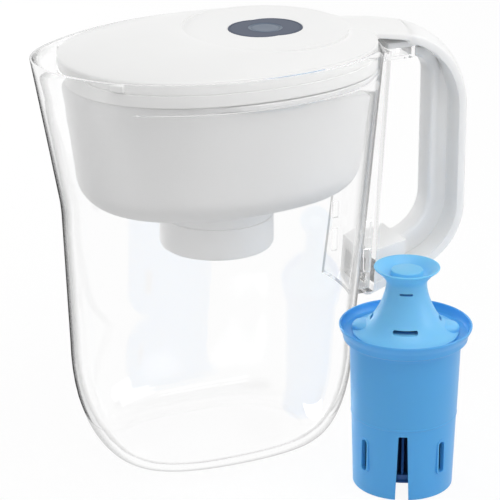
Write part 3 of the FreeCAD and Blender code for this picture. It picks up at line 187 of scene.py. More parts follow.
def plate(name, corners, low_y, high_y):
    """A slab along Y on a polygon of (x, z) corners."""
    return skin(name, [[Vector((x, low_y, z)) for x, z in corners],
                       [Vector((x, high_y, z)) for x, z in corners]])


def block(name, low, high):
    """A box from one corner to the other."""
    return plate(name, [(low[0], low[2]), (high[0], low[2]), (high[0], high[2]), (low[0], high[2])],
                 low[1], high[1])


def round_edges(piece, width, steps=3, angle=32):
    """A small radius on every crisp edge, as a mould leaves it."""
    change = piece.modifiers.new("round", "BEVEL")
    change.width = width * MM
    change.segments = steps
    change.limit_method = "ANGLE"
    change.angle_limit = math.radians(angle)
    return piece


print("tools ready: carve, plate, block, round_edges")

# %% [markdown]
# A material is a small graph of nodes. These helpers make one node, one link or one effect each, so
# that a finish reads as a few lines. What is the same all over a surface is set on the shader's own
# socket, and only what varies comes through nodes.

# %% Nodes of a material
def shader_of(name, colour, roughness, **sockets):
    """A new material with its main shader, whose other sockets are set by name."""
    material = bpy.data.materials.new(name)
    material.use_nodes = True
    inputs = material.node_tree.nodes["Principled BSDF"].inputs
    inputs["Base Color"].default_value = (*colour, 1)
    inputs["Roughness"].default_value = roughness
    for socket, value in sockets.items():
        inputs[socket.replace("_", " ")].default_value = value
    return material


def node(material, kind):
    return material.node_tree.nodes.new(kind)


def link(material, start, end):
    material.node_tree.links.new(start, end)


def main_shader(material):
    return material.node_tree.nodes["Principled BSDF"]


def math_of(tree, operation, first, second):
    """A Math node whose two sides are sockets or plain numbers."""
    made = tree.nodes.new("ShaderNodeMath")
    made.operation = operation
    for socket, value in zip(made.inputs, (first, second)):
        if isinstance(value, (int, float)):
            socket.default_value = value
        else:
            tree.links.new(value, socket)
    return made.outputs[0]


def cloud(material, scale, detail=3.0):
    """A noise in object space, with its size given as repeats per metre."""
    place = node(material, "ShaderNodeTexCoord")
    noise = node(material, "ShaderNodeTexNoise")
    noise.inputs["Scale"].default_value = scale
    noise.inputs["Detail"].default_value = detail
    link(material, place.outputs["Object"], noise.inputs["Vector"])
    return noise.outputs["Fac"]


def tone(material, fac, first, second, start=0.3, end=0.7):
    """Vary the base colour between two tones, which a factor reaches at its start and its end."""
    ramp = node(material, "ShaderNodeValToRGB")
    for stop, colour, position in zip(ramp.color_ramp.elements, (first, second), (start, end)):
        stop.color = (*colour, 1)
        stop.position = position
    link(material, fac, ramp.inputs["Fac"])
    link(material, ramp.outputs["Color"], main_shader(material).inputs["Base Color"])


def bump(material, fac, strength, distance):
    """A relief on the surface, with its depth in millimetres."""
    relief = node(material, "ShaderNodeBump")
    relief.inputs["Strength"].default_value = strength
    relief.inputs["Distance"].default_value = distance * MM
    link(material, fac, relief.inputs["Height"])
    link(material, relief.outputs["Normal"], main_shader(material).inputs["Normal"])


def shade(colour, factor):
    return tuple(min(1.0, c * factor) for c in colour)


print("effects ready: cloud, tone, bump")

# %% [markdown]
# Moulded plastic is never one flat colour. A very faint cloud of tone and a bump far below a tenth
# of a millimetre break up its highlights. Both are drawn in object space, so they stay on the
# piece when it moves.

# %% Plastics
def moulded(name, colour, roughness, grain=0.15, variation=0.015, **sockets):
    """Plain moulded plastic: a faint cloud of tone and a fine satin grain."""
    material = shader_of(name, colour, roughness, **sockets)
    tone(material, cloud(material, 14.0), shade(colour, 1 - variation),
         shade(colour, 1 + variation))
    bump(material, cloud(material, 2200.0, 2.0), grain, 0.02)
    return material


white_plastic = moulded("white plastic", (0.86, 0.86, 0.855), 0.34, Specular_IOR_Level=0.4)
hopper_plastic = moulded("hopper plastic", (0.83, 0.83, 0.83), 0.42, Specular_IOR_Level=0.4)
handle_plastic = moulded("handle plastic", (0.88, 0.88, 0.875), 0.36, Subsurface_Weight=0.8,
                         Subsurface_Radius=(1.0, 1.0, 1.0), Subsurface_Scale=0.012)
slate_plastic = moulded("slate window plastic", (0.030, 0.048, 0.092), 0.35, grain=0.05,
                        Specular_IOR_Level=0.2)
button_plastic = moulded("button plastic", (0.10, 0.135, 0.19), 0.35, Specular_IOR_Level=0.35)
grey_plastic = moulded("grey plastic", (0.55, 0.55, 0.54), 0.5)
black_plastic = moulded("black plastic", (0.02, 0.02, 0.02), 0.4)
clear_resin = moulded("light resin", (0.70, 0.74, 0.60), 0.2, grain=0.03)
print("materials so far:", len(bpy.data.materials))

# %% [markdown]
# Clear plastic is a shader with full transmission. Its wall is real here, with an outer and an
# inner skin, so its bends come from refraction. Where the wall is seen almost edge on, its colour
# is darkened to a painted dark edge: light has a longer way through the wall there, but the
# darkening goes far beyond what that gives. A lamp's shadow ray can't bend in Cycles, so it is let
# through by a transparent shader, or the hopper inside would stand in the dark. Rays that were
# mirrored in the wall a few times are let out too, or they would end black.
# The bracket has many thin walls one behind another. It bends light less than its real plastic
# would, so that they stay as pale as in the photograph.

# %% Clear plastic
PAINTED_EDGE_STARTS, PAINTED_EDGE_FULL, MIRRORED_OFTEN = 0.66, 0.88, 2.5


def clear_plastic(name, tint, shadow, ior, painted_edge_share):
    """Glass-like plastic: a grey tint, a faint shadow, and painted dark edges at a share of the
    tint.
    """
    colour = (tint, tint, tint)
    material = shader_of(name, colour, 0.0, Transmission_Weight=1.0, IOR=ior)
    bump(material, cloud(material, 9.0, 1.0), 0.06, 0.4)
    facing = node(material, "ShaderNodeLayerWeight").outputs["Facing"]
    # painted dark edge: the tint falls to a small share of itself where the wall is seen edge on
    tone(material, facing, colour, shade(colour, painted_edge_share), PAINTED_EDGE_STARTS, PAINTED_EDGE_FULL)
    rays = node(material, "ShaderNodeLightPath").outputs
    trapped = math_of(material.node_tree, "GREATER_THAN", rays["Glossy Depth"], MIRRORED_OFTEN)
    passes = math_of(material.node_tree, "MAXIMUM", trapped, rays["Is Shadow Ray"])
    let_through = node(material, "ShaderNodeBsdfTransparent")
    let_through.inputs["Color"].default_value = (shadow, shadow, shadow, 1)
    either = node(material, "ShaderNodeMixShader")
    link(material, passes, either.inputs[0])
    link(material, main_shader(material).outputs["BSDF"], either.inputs[1])
    link(material, let_through.outputs["BSDF"], either.inputs[2])
    surface = material.node_tree.nodes["Material Output"].inputs["Surface"]
    link(material, either.outputs["Shader"], surface)
    return material


vessel_plastic = clear_plastic("clear vessel plastic", 0.99, 0.95, 1.49, 0.04)
bracket_plastic = clear_plastic("clear bracket plastic", 0.99, 0.97, 1.25, 1.0)
print("clear plastics:", vessel_plastic.name, "and", bracket_plastic.name)

# %% [markdown]
# The cartridge is moulded in a strong translucent blue. Light enters it a little before it comes
# back, which subsurface scattering does, and its skin is satin rather than glossy.

# %% Blue cartridge plastic
BLUE_SKIN = {"Subsurface_Weight": 0.25, "Subsurface_Scale": 0.004,
             "Subsurface_Radius": (0.2, 0.5, 1.0), "Specular_IOR_Level": 0.45}
blue_plastic = moulded("blue cartridge plastic", (0.075, 0.375, 0.77), 0.36, 0.1, **BLUE_SKIN)
blue_cap_plastic = moulded("blue cap plastic", (0.19, 0.58, 0.93), 0.36, 0.1, **BLUE_SKIN)
print("blue plastics:", blue_plastic.name, "and", blue_cap_plastic.name)

# %% [markdown]
# Metals, rubber, paper and the circuit board are mostly hidden, but they show when the lid or the
# cartridge is taken apart, so each has its own finish: brushed streaks on the cell, fibres in the
# filter paper and a fine brick pattern of tracks on the board.

# %% Other finishes
def metal(name, colour, roughness, streak):
    """Plated or brushed metal, with streaks that run along one axis."""
    material = shader_of(name, colour, roughness, Metallic=1.0)
    place = node(material, "ShaderNodeTexCoord")
    stretch = node(material, "ShaderNodeMapping")
    stretch.inputs["Scale"].default_value = streak
    noise = node(material, "ShaderNodeTexNoise")
    noise.inputs["Scale"].default_value = 60.0
    link(material, place.outputs["Object"], stretch.inputs["Vector"])
    link(material, stretch.outputs["Vector"], noise.inputs["Vector"])
    bump(material, noise.outputs["Fac"], 0.12, 0.03)
    tone(material, noise.outputs["Fac"], shade(colour, 0.94), shade(colour, 1.04))
    return material


def fibrous(name, dark, light, scale, roughness):
    """Paper or a fine mesh: soft fibres crossing each other."""
    material = shader_of(name, light, roughness)
    fac = cloud(material, scale, 6.0)
    tone(material, fac, dark, light)
    bump(material, fac, 0.4, 0.15)
    return material


def laminate(name):
    """A lacquered board, with lighter tracks drawn by a brick pattern."""
    material = shader_of(name, (0.02, 0.13, 0.06), 0.35, Coat_Weight=0.3)
    place = node(material, "ShaderNodeTexCoord")
    tracks = node(material, "ShaderNodeTexBrick")
    tracks.inputs["Scale"].default_value = 160.0
    tracks.inputs["Color1"].default_value = (0.02, 0.13, 0.06, 1)
    tracks.inputs["Color2"].default_value = (0.018, 0.11, 0.05, 1)
    tracks.inputs["Mortar"].default_value = (0.05, 0.24, 0.11, 1)
    tracks.inputs["Mortar Size"].default_value = 0.06
    link(material, place.outputs["Object"], tracks.inputs["Vector"])
    link(material, tracks.outputs["Color"], main_shader(material).inputs["Base Color"])
    return material


steel = metal("plated steel", (0.62, 0.62, 0.63), 0.28, (1.0, 14.0, 1.0))
brass = metal("brass strip", (0.72, 0.52, 0.22), 0.32, (12.0, 1.0, 1.0))
rubber = moulded("seal rubber", (0.075, 0.078, 0.08), 0.7, grain=0.4, variation=0.05)
filter_paper = fibrous("filter paper", (0.008, 0.07, 0.24), (0.012, 0.10, 0.31), 900.0, 0.95)
screen_mesh = fibrous("screen mesh", (0.008, 0.06, 0.20), (0.012, 0.08, 0.26), 2600.0, 0.8)
inner_plastic = moulded("inner cartridge plastic", (0.01, 0.09, 0.29), 0.45)
board = laminate("board laminate")
print("materials:", len(bpy.data.materials))

# %% [markdown]
# Every CAD node gets a finish. Those that already have the right shape need nothing more, and
# their meshes stay as packed. The others are replaced further down by the skins made there.

# %% Finishes on the CAD nodes
FINISHES = {
    "pitcher_body": vessel_plastic, "handle": handle_plastic, "hopper": hopper_plastic,
    "lid_shell": white_plastic, "indicator_bezel": slate_plastic, "indicator_face": slate_plastic,
    "indicator_housing": grey_plastic, "housing_cover": grey_plastic, "housing_gasket": rubber,
    "housing_screws": steel, "circuit_board": board, "reset_switch": black_plastic,
    "status_lights": clear_resin, "coin_cell": steel, "battery_contacts": brass,
    "reset_button": button_plastic, "return_dome": rubber, "filter_housing": blue_plastic,
    "filter_cap": blue_cap_plastic, "filter_media": filter_paper, "media_top_cap": inner_plastic,
    "media_bottom_cap": inner_plastic, "filter_core": inner_plastic, "top_screen": screen_mesh,
    "base_screen": screen_mesh,
}


def paint(piece, material):
    piece.data.materials.clear()
    piece.data.materials.append(material)
    return piece


for name, material in FINISHES.items():
    paint(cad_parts[name], material)
print("finished nodes:", len(FINISHES), "of", len(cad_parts))

# %% [markdown]
# The vessel is one injection-moulded shell. Its bowl opens like a quarter ellipse, the wall is
# nearly straight above it, and the front draws out into a pouring lip. Four outlines are given, at
# the base, at the top of the bowl, at the waist and at the lip, and every other is a blend of two.

# %% The vessel's outline at any height
RIM, RIM_BACK, DROP_FRONT, DROP_BACK = 240.0, 234.0, 78.0, 95.0
LIP, REACH, LIFT_LENGTH = 242.5, 103.5, 45.0
BOWL, WAIST, LEDGE = 65.0, 150.0, 222.3
WALL, RIM_WALL, FLOOR = 2.4, 1.4, 3.0
AT_BASE = (55.0, 55.0, 34.0, 2.7)
AT_BOWL = (81.2, 82.5, 65.0, 2.5)
AT_WAIST = (85.3, 93.2, 67.4, 2.3)
AT_LIP = (REACH, 101.55, 71.05, 1.85)


def part_way(low, high, shares):
    """Between two outlines: front, back, half width and squareness of the nose."""
    return [between(a, b, share) for a, b, share in zip(low, high, shares)]


def vessel_point(k, level, inset=0.0, bottom=0.0):
    """Point k of the vessel's outline at a level; bottom is where this skin's bowl starts."""
    middle = BODY_MIDDLE
    if level < BOWL:
        drop = min(1.0, (BOWL - level) / (BOWL - bottom))
        along = (1 - drop ** 2.0) ** (1 / 2.0)
        across = (1 - drop ** 2.4) ** (1 / 2.4)
        outline = part_way(AT_BASE, AT_BOWL, (along, along, across, along))
        middle *= along
    elif level < WAIST:
        outline = part_way(AT_BOWL, AT_WAIST, [(level - BOWL) / (WAIST - BOWL)] * 4)
    else:
        to_lip, to_rim = (level - WAIST) / (LIP - WAIST), (level - WAIST) / (RIM - WAIST)
        outline = part_way(AT_WAIST, AT_LIP, (to_lip, to_rim, to_rim, to_lip))
    front, back, half_width, nose = outline
    tail = nose if level < WAIST else AT_WAIST[3]
    return oval_point(k, middle, front + middle - inset, back - middle - inset,
                      half_width - inset, nose, tail)


print("vessel:", 2 * AT_LIP[2], "mm wide at the rim")

# %% [markdown]
# In the photograph the rim's sides are level with the lid's edge, so they stand at 240 mm here,
# 6 mm higher than in the CAD model, and fall to the CAD height where the lid's tongue crosses them.
# A boolean would leave a ragged rim, so each column of points ends exactly on the rim line instead.
# The columns lean outwards, so each height is found again a few times, until it settles.

# %% The rim's height
def arc_drop(radius, run):
    """How far an arc that starts level has bent away after a run."""
    return radius - math.sqrt(radius ** 2 - run ** 2)


def rim_level(x):
    """Height of the rim over a point: level sides, one arc up to the lip, two down at the back."""
    lift, drop, length = LIP - RIM, RIM - RIM_BACK, DROP_BACK - DROP_FRONT
    if x < DROP_FRONT:
        run = min(LIFT_LENGTH, max(0.0, LIFT_LENGTH - REACH - x))
        return RIM + arc_drop((LIFT_LENGTH ** 2 + lift ** 2) / (2 * lift), run)
    radius = (length ** 2 + drop ** 2) / (4 * drop)
    if x < (DROP_FRONT + DROP_BACK) / 2:
        return RIM - arc_drop(radius, x - DROP_FRONT)
    return RIM_BACK + arc_drop(radius, max(0.0, DROP_BACK - x))


rim_levels = [RIM] * AROUND
for _ in range(6):
    rim_levels = [rim_level(vessel_point(k, rim_levels[k])[0]) for k in range(AROUND)]
print("rim from", round(min(rim_levels), 1), "to", round(max(rim_levels), 1), "mm")

# %% [markdown]
# The rows of points are close together round the bowl and at the rounded rim. The inner skin steps
# in at the ledge that carries the hopper, exactly as in the mould.

# %% Rings of the vessel
BOWL_TURNS = [math.radians(7.5 * step) for step in range(13)]
EDGE = RIM_WALL / 2
LIP_STARTS, LIP_GROWS = -54.0, 14.0


def vessel_ring(levels, inset=0.0, bottom=0.0):
    return [Vector((*vessel_point(k, levels[k], inset, bottom), levels[k])) for k in range(AROUND)]


def level_ring(level, inset=0.0, bottom=0.0):
    return vessel_ring([level] * AROUND, inset, bottom)


def lip_ring(levels, inset):
    """A ring of the rim's inner skin. The lip carries no hopper, so its wall thickens smoothly."""
    points = []
    for k, level in enumerate(levels):
        top = rim_levels[k] - EDGE
        smooth = between(RIM_WALL, WALL, (top - level) / (top - LEDGE + 0.4))
        at_lip = min(1.0, max(0.0, (LIP_STARTS - vessel_point(k, level)[0]) / LIP_GROWS))
        points.append(Vector((*vessel_point(k, level, between(inset, smooth, at_lip)), level)))
    return points


print("wall:", WALL, "mm, and", RIM_WALL, "mm at the rim")

# %% [markdown]
# The stack climbs the outside, turns over the rounded rim in small steps, and comes down the inside
# past the ledge to the floor, where the last ring is closed.

# %% Vessel
def outer_rows(top_drop):
    """The outer skin, from the base up to a little below the rim."""
    rows = [level_ring(BOWL * (1 - math.cos(turn))) for turn in BOWL_TURNS]
    for step in range(1, 25):
        levels = [between(BOWL, rim - top_drop, step / 24) for rim in rim_levels]
        rows.append(vessel_ring(levels))
    return rows


vessel_rows = outer_rows(EDGE)
for turn in (30, 60, 90, 120, 150):
    angle = math.radians(turn)
    levels = [rim - EDGE + EDGE * math.sin(angle) for rim in rim_levels]
    vessel_rows.append(vessel_ring(levels, EDGE - EDGE * math.cos(angle)))
for share in (0.0, 0.25, 0.5, 0.75, 0.98):
    levels = [between(rim - EDGE, LEDGE + 0.3, share) for rim in rim_levels]
    vessel_rows.append(lip_ring(levels, RIM_WALL))
for level, inset in ((LEDGE + 0.05, RIM_WALL + 0.2), (LEDGE, WALL - 0.2)):
    vessel_rows.append(lip_ring([level] * AROUND, inset))
for step in range(24):
    vessel_rows.append(level_ring(between(LEDGE - 0.4, BOWL, step / 23), WALL, FLOOR))
for turn in BOWL_TURNS[-2::-1]:
    level = FLOOR + (BOWL - FLOOR) * (1 - math.cos(turn))
    vessel_rows.append(level_ring(level, WALL, FLOOR))
vessel = skin("clear_vessel", vessel_rows, sharp_angle=50)
print("vessel:", len(vessel.data.vertices), "points")

# %% [markdown]
# A box-shaped bracket stands on the back wall and carries the handle. It is hollow and open at the
# top, with two windows through its cheeks, and an open channel reaches from it into the handle.
# These straight forms come from slabs, and booleans join them and cut them to the vessel's wall.

# %% Bracket and arm
BRACKET_LOW, BRACKET_TOP = 84, 229


def bracket_face(level):
    """How far the bracket reaches back, which grows with its height."""
    return between(95.5, 104.6, (level - BRACKET_LOW) / (BRACKET_TOP - BRACKET_LOW))


def vessel_solid(name):
    """The outside of the vessel as a full solid, to keep tools out of the wall."""
    return skin(name, outer_rows(0.0))


face_low, face_top = bracket_face(BRACKET_LOW), bracket_face(BRACKET_TOP)
bracket = plate("bracket", [(72, BRACKET_LOW), (face_low, BRACKET_LOW), (face_top, BRACKET_TOP),
                            (72, BRACKET_TOP)], -20, 20)
carve(bracket, block("arm", (100.0, -11.5, 221.0), (124.0, 11.5, 228.6)), "UNION")
carve(bracket, plate("core", [(60, 86), (face_low - 2, 86), (face_top - 2, 231), (60, 231)],
                     -18, 18))
for low, high in ((97, 111), (118, 128)):
    carve(bracket, block("window", (89.1, -22, low), (93.5, 22, high)))
carve(bracket, block("channel", (106.2, -9.9, 222.6), (122.4, 9.9, 231)))
carve(bracket, vessel_solid("keep_out"))
tenon = block("tenon", (94.5, -9, 86), (107.5, 9, 100))
boss = skin("boss", [[p + Vector((108, 0, 0)) for p in ring_circle(0, 2.6, level)]
                     for level in (221.8, 228.6)])
for part in (tenon, boss):
    carve(bracket, part, "UNION")
round_edges(finish_mesh(bracket), 0.5, 2)
bracket.name = "clear_bracket"
for piece, material in ((vessel, vessel_plastic), (bracket, bracket_plastic)):
    paint(piece, material)
    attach(piece, "pitcher")
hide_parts("pitcher_body")
print("bracket:", len(bracket.data.polygons), "faces")

# %% [markdown]
# The hopper is a tapered tub with a round well in its floor, which takes the cartridge. One closed
# stack of rings runs from the well's mouth over the outside, the bead and the rim, and back down
# the inside. Circles and ovals have the same count of points, so one ring can grow into the other.

# %% Rings of the hopper
TUB_FLOOR, TUB_CURVE, TUB_WALL = 153.0, 16.0, 2.0
BEAD_LOW, BEAD_TOP, SKIRT_GAP = 222.7, 225.1, 225.9
NOSE_STARTS, NOSE_GROWS = -45.0, 25.0


def blend_rings(first, second, share):
    return [a.lerp(b, share) for a, b in zip(first, second)]


def outer_of(first, second, middle):
    """Of two rings, the point that lies further out, so that a bead can sink into a wall."""
    centre = Vector((middle, 0))
    return [a if (a.xy - centre).length > (b.xy - centre).length else Vector((b.x, b.y, a.z))
            for a, b in zip(first, second)]


def ring_well(radius, level):
    return ring_circle(WELL_X, radius, level)


def tub_inset(level):
    """The tub tapers downwards, so that it leaves its mould."""
    return 2.4 + 0.12 * (LEDGE - level)


def nose_share(x):
    """0 along the sides, growing to 1 round the nose."""
    return min(1.0, max(0.0, (NOSE_STARTS - x) / NOSE_GROWS))


def up_at_nose(ring, rise):
    """The same ring, lifted to the lid's skirt at the nose."""
    return [Vector((p.x, p.y, p.z + rise * nose_share(p.x))) for p in ring]


def tub_ring(level):
    """The tub's wall, which runs on from the lid's skirt without a step at the nose."""
    plain = ring_lid(tub_inset(level), level)
    flush = ring_lid(min(tub_inset(level), 0.4 + 0.17 * (SKIRT_GAP - level)), level)
    return [a.lerp(b, nose_share(a.x)) for a, b in zip(plain, flush)]


def ring_bead(level, inset=0.0):
    """The bead hangs on the vessel's ledge and sinks into the tub's wall at the nose."""
    bead = ring_oval(LID_MIDDLE + 62.0 - inset, 92.0 - inset, 68.6 - inset, level)
    return outer_of(bead, tub_ring(level), LID_MIDDLE)


def curve_rows(low, radius, inset, turns):
    """The rounded edge between the tub's floor and its wall."""
    rows = []
    for turn in turns:
        level = low + radius * (1 - math.cos(turn))
        rows.append(ring_lid(tub_inset(level) + inset + radius * (1 - math.sin(turn)), level))
    return rows


print("tub drawn in by", round(tub_inset(TUB_FLOOR), 1), "mm at its floor")

# %% [markdown]
# The stack now names its rings in order, as a finger would feel them: the well's mouth with its
# groove, the tub's floor, its curve and wall, the bead, the rim inside the lid's skirt, and then
# the same way back down the inside to the collar round the well.

# %% Hopper
rows = [ring_well(radius, level) for radius, level in (
    (31.3, 123.35), (31.95, 123.85), (32.35, 124.55), (32.6, 125.6), (32.6, 141.7), (32.1, 142.0),
    (32.1, 142.5), (32.6, 142.8), (32.6, 152.2), (32.9, 152.8), (33.6, TUB_FLOOR))]
tub_foot = ring_lid(tub_inset(TUB_FLOOR) + TUB_CURVE, TUB_FLOOR)
rows += [blend_rings(rows[-1], tub_foot, share) for share in (0.35, 0.7)]
rows += curve_rows(TUB_FLOOR, TUB_CURVE, 0.0, BOWL_TURNS)
rows += [tub_ring(level) for level in (180, 192, 204, 216, 222.0)]
rows += [ring_bead(BEAD_LOW - 0.4, 0.4), ring_bead(BEAD_LOW), up_at_nose(ring_bead(BEAD_TOP), 0.9),
         up_at_nose(ring_bead(BEAD_TOP + 0.4, 0.4), 0.7), up_at_nose(ring_lid(2.4, SKIRT_GAP), 0.3)]
rows += [ring_lid(inset, level) for inset, level in (
    (2.4, 231.4), (2.7, 232.0), (4.1, 232.0), (4.4, 231.4), (4.4, 222.0))]
rows += [ring_lid(tub_inset(level) + TUB_WALL, level) for level in (210, 198, 186, 174)]
rows += curve_rows(TUB_FLOOR + TUB_WALL, TUB_CURVE - TUB_WALL, TUB_WALL, BOWL_TURNS[::-1])
rows += [blend_rings(rows[-1], ring_well(39.6, 155.0), share) for share in (0.4, 0.8)]
rows += [ring_well(radius, level) for radius, level in (
    (39.6, 155.0), (39.2, 155.4), (39.2, 160.5), (38.8, 161.0), (38.0, 161.0), (37.6, 160.5),
    (37.6, 155.0), (31.8, 155.0), (31.3, 154.4))]
hopper = skin("hopper_tub", rows, joined=True)
paint(hopper, hopper_plastic)
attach(hopper, "hopper")
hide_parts("hopper")
print("hopper:", len(rows), "rings")

# %% [markdown]
# The lid is a shallow pillow: flat in the middle, falling away faster and faster to its edge. A
# flat disc is let into it, and where the crown has dropped below the disc, the disc stands proud.
# The window for the indicator is drawn as two round ends, which meet over the disc's middle.

# %% Crown and window
CROWN_POWER, GROOVE, SKIRT_LOW = 3.7, 233.5, 226.3
WINDOW_LENGTH, WINDOW_END = 20.4, 16.6


def crown_level(x, y):
    """Height of the crown over a point, from how near to the outline it lies."""
    power = NOSE_SQUARENESS if x < LID_MIDDLE else TAIL_SQUARENESS
    share = (abs((x - LID_MIDDLE) / LID_HALF_LENGTH) ** power
             + abs(y / LID_HALF_WIDTH) ** power) ** (1 / power)
    return LID_EDGE + LID_CROWN * (1 - min(1.0, share) ** CROWN_POWER)


def ring_window(grow, level):
    """The window's outline: two round ends, a little apart, that meet over the disc's middle."""
    end = WINDOW_END + grow
    points = []
    for k in range(AROUND):
        angle = math.tau * k / AROUND
        dx, dy = math.cos(angle), math.sin(angle)
        centre = math.copysign(WINDOW_LENGTH - WINDOW_END, dx)
        length = dx * centre + math.sqrt((dx * centre) ** 2 - centre ** 2 + end ** 2)
        points.append(Vector((DISC_X + dx * length, dy * length, level)))
    return points


def on_crown(ring, drop=0.0):
    """The same ring, laid on the crown or a little below it."""
    return [Vector((p.x, p.y, crown_level(p.x, p.y) - drop)) for p in ring]


print("crown over the lid's middle:", crown_level(LID_MIDDLE, 0.0), "mm")

# %% [markdown]
# The rings start at the indicator's window and pass the disc's circle, where a fine step shows the
# disc's edge. They go on over the crown and its rounded edge, down the skirt with its groove, and
# back along the underside, so that the lid is one closed shell.

# %% Lid top
disc_ring = ring_circle(DISC_X, DISC_RADIUS, DISC_TOP)
outline = ring_lid(0.0, LID_EDGE)
rows = [ring_window(1.05, DISC_LOW), ring_window(1.05, DISC_TOP - 0.3),
        ring_window(1.35, DISC_TOP)]
rows += [blend_rings(rows[-1], disc_ring, share) for share in (0.25, 0.5, 0.75)]
rows += [ring_circle(DISC_X, DISC_RADIUS - 0.5, DISC_TOP),
         ring_circle(DISC_X, DISC_RADIUS - 0.15, DISC_TOP - 0.12),
         [Vector((p.x, p.y, max(min(crown_level(p.x, p.y), DISC_TOP - 0.4),
                                crown_level(p.x, p.y) - 0.3))) for p in disc_ring]]
for share in (0.03, 0.15, 0.3, 0.45, 0.6, 0.72, 0.82, 0.9, 0.95):
    rows.append(on_crown(blend_rings(disc_ring, outline, share)))
rows += [on_crown(ring_lid(1.3, 0)), on_crown(ring_lid(0.7, 0), 0.12),
         on_crown(ring_lid(0.22, 0), 0.55)]
rows += [ring_lid(inset, level) for inset, level in (
    (0.0, LID_EDGE - 1.2), (0.0, GROOVE + 0.4), (0.3, GROOVE + 0.1), (0.3, GROOVE - 0.1),
    (0.0, GROOVE - 0.4), (0.0, SKIRT_LOW + 0.5), (0.4, SKIRT_LOW), (1.6, SKIRT_LOW),
    (2.0, SKIRT_LOW + 0.5), (2.0, 237.0))]
for share in (0.95, 0.82, 0.6, 0.3, 0.0):
    under = blend_rings(disc_ring, ring_lid(2.0, 0), share)
    rows.append([Vector((p.x, p.y, min(DISC_LOW, crown_level(p.x, p.y) - 2.2))) for p in under])
lid = skin("lid_cap", rows, joined=True)
print("lid:", len(rows), "rings")

# %% [markdown]
# Under the lid a lip steps inside the hopper's rim and keeps the lid in place. It is one closed
# profile that follows the same outline. Two small lugs on the skirt show where the lid rests.

# %% Lip and lugs of the lid
LUG_FORWARD, LUG_LOW, LUG_LENGTH, LUG_HEIGHT = 76.5, 234.5, 8.4, 3.6
lip = skin("lid_lip", [ring_lid(inset, level) for inset, level in (
    (4.8, 227.4), (5.1, 227.0), (6.0, 227.0), (6.3, 227.4), (6.3, 239.0), (1.2, 237.6),
    (1.2, 232.0), (4.8, 232.0))], joined=True)


def lug(name, side):
    """A rounded rest on the skirt, square to the lid's outline."""
    forward = LUG_FORWARD / LID_HALF_LENGTH
    sideways = (1 - forward ** NOSE_SQUARENESS) ** (1 / NOSE_SQUARENESS)
    slope = NOSE_SQUARENESS - 1
    angle = math.atan2(sideways ** slope / LID_HALF_WIDTH, -forward ** slope / LID_HALF_LENGTH)
    half = LUG_LENGTH / 2
    rest = round_edges(block(name, (-2.0, -half, 0.0), (2.6, half, LUG_HEIGHT)), 0.5)
    place = Vector((LID_MIDDLE - LUG_FORWARD, side * sideways * LID_HALF_WIDTH, LUG_LOW))
    rest.data.transform(Matrix.Translation(place * MM) @ Matrix.Rotation(side * angle, 4, "Z"))
    return rest


print("lip:", len(lip.data.vertices), "points")

# %% [markdown]
# A band is a cross-section that is carried along a path. This one is crowned on top and has small
# rounded edges, which would be hard to keep even if the band were bent from a straight slab.

# %% Bands along a path
def band_section(half_width, thickness, crown, edge):
    """Offsets (sideways, outwards) round a crowned band."""
    flat = half_width - edge
    radius = (flat ** 2 + crown ** 2) / (2 * crown)
    offsets = []
    for step in range(17):
        y = between(-flat, flat, step / 16)
        offsets.append((y, crown - radius + math.sqrt(radius ** 2 - y ** 2)))
    for step in range(1, 5):
        turn = math.radians(22.5 * step)
        offsets.append((flat + edge * math.sin(turn), edge * (math.cos(turn) - 1)))
    offsets += [(half_width, 0.6 - thickness), (half_width - 0.6, -thickness),
                (0.6 - half_width, -thickness), (-half_width, 0.6 - thickness)]
    for step in range(4, 0, -1):
        turn = math.radians(22.5 * step)
        offsets.append((-flat - edge * math.sin(turn), edge * (math.cos(turn) - 1)))
    return offsets


def arc_path(x, level, radius, start, end, steps):
    """Points and outward directions along an arc in the XZ plane; angles are from +X to +Z."""
    path = []
    for step in range(steps + 1):
        turn = math.radians(between(start, end, step / steps))
        out = Vector((math.cos(turn), 0, math.sin(turn)))
        path.append((Vector((x, 0, level)) + out * radius, out))
    return path


def band(name, path, offsets):
    rings = [[point + Vector((0, y, 0)) + out * outwards for y, outwards in offsets]
             for point, out in path]
    return skin(name, rings, sharp_angle=40)


tongue_section = band_section(17.8, 4.0, 4.0, 1.6)
print("tongue's section:", len(tongue_section), "points")

# %% [markdown]
# A tongue runs from the lid's back over the handle, along one wide arc. It ends in a fine slit,
# where the handle's strap takes over at the same height and slope. The tongue, the lip and the lugs
# are one moulding with the lid, so all of them ride on its body.

# %% Tongue, and the lid's finish
SEAM_X, SEAM_LEVEL, SEAM_ANGLE = 118.6, 236.9, 13.5
TONGUE_FRONT, TONGUE_RADIUS, SEAM_SLIT = 76.0, 200.0, 0.115
tongue_x = SEAM_X - TONGUE_RADIUS * math.sin(math.radians(SEAM_ANGLE))
tongue_level = SEAM_LEVEL - TONGUE_RADIUS * math.cos(math.radians(SEAM_ANGLE))
tongue_start = math.degrees(math.acos((TONGUE_FRONT - tongue_x) / TONGUE_RADIUS))
tongue_end = 90 - SEAM_ANGLE + SEAM_SLIT
tongue_path = arc_path(tongue_x, tongue_level, TONGUE_RADIUS, tongue_start, tongue_end, 16)
tongue = band("lid_tongue", tongue_path, tongue_section)
for piece in (lid, lip, tongue, lug("lid_lug_left", -1), lug("lid_lug_right", 1)):
    paint(piece, white_plastic)
    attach(piece, "lid")
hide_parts("lid_shell")
print("tongue starts at", round(tongue_start, 1), "degrees")

# %% [markdown]
# The indicator is one dark oval that lies flush in the lid's disc. Its face has a shallow dish, and
# the round reset button sits in the middle of it. The bezel, the face and the button are made again
# so that their tops meet in one level, with edges rounded finely enough to catch a thin light.

# %% Indicator
FACE_TOP, DISH_RADIUS, BUTTON_RADIUS, BUTTON_FOOT = 246.4, 9.9, 8.0, 242.9


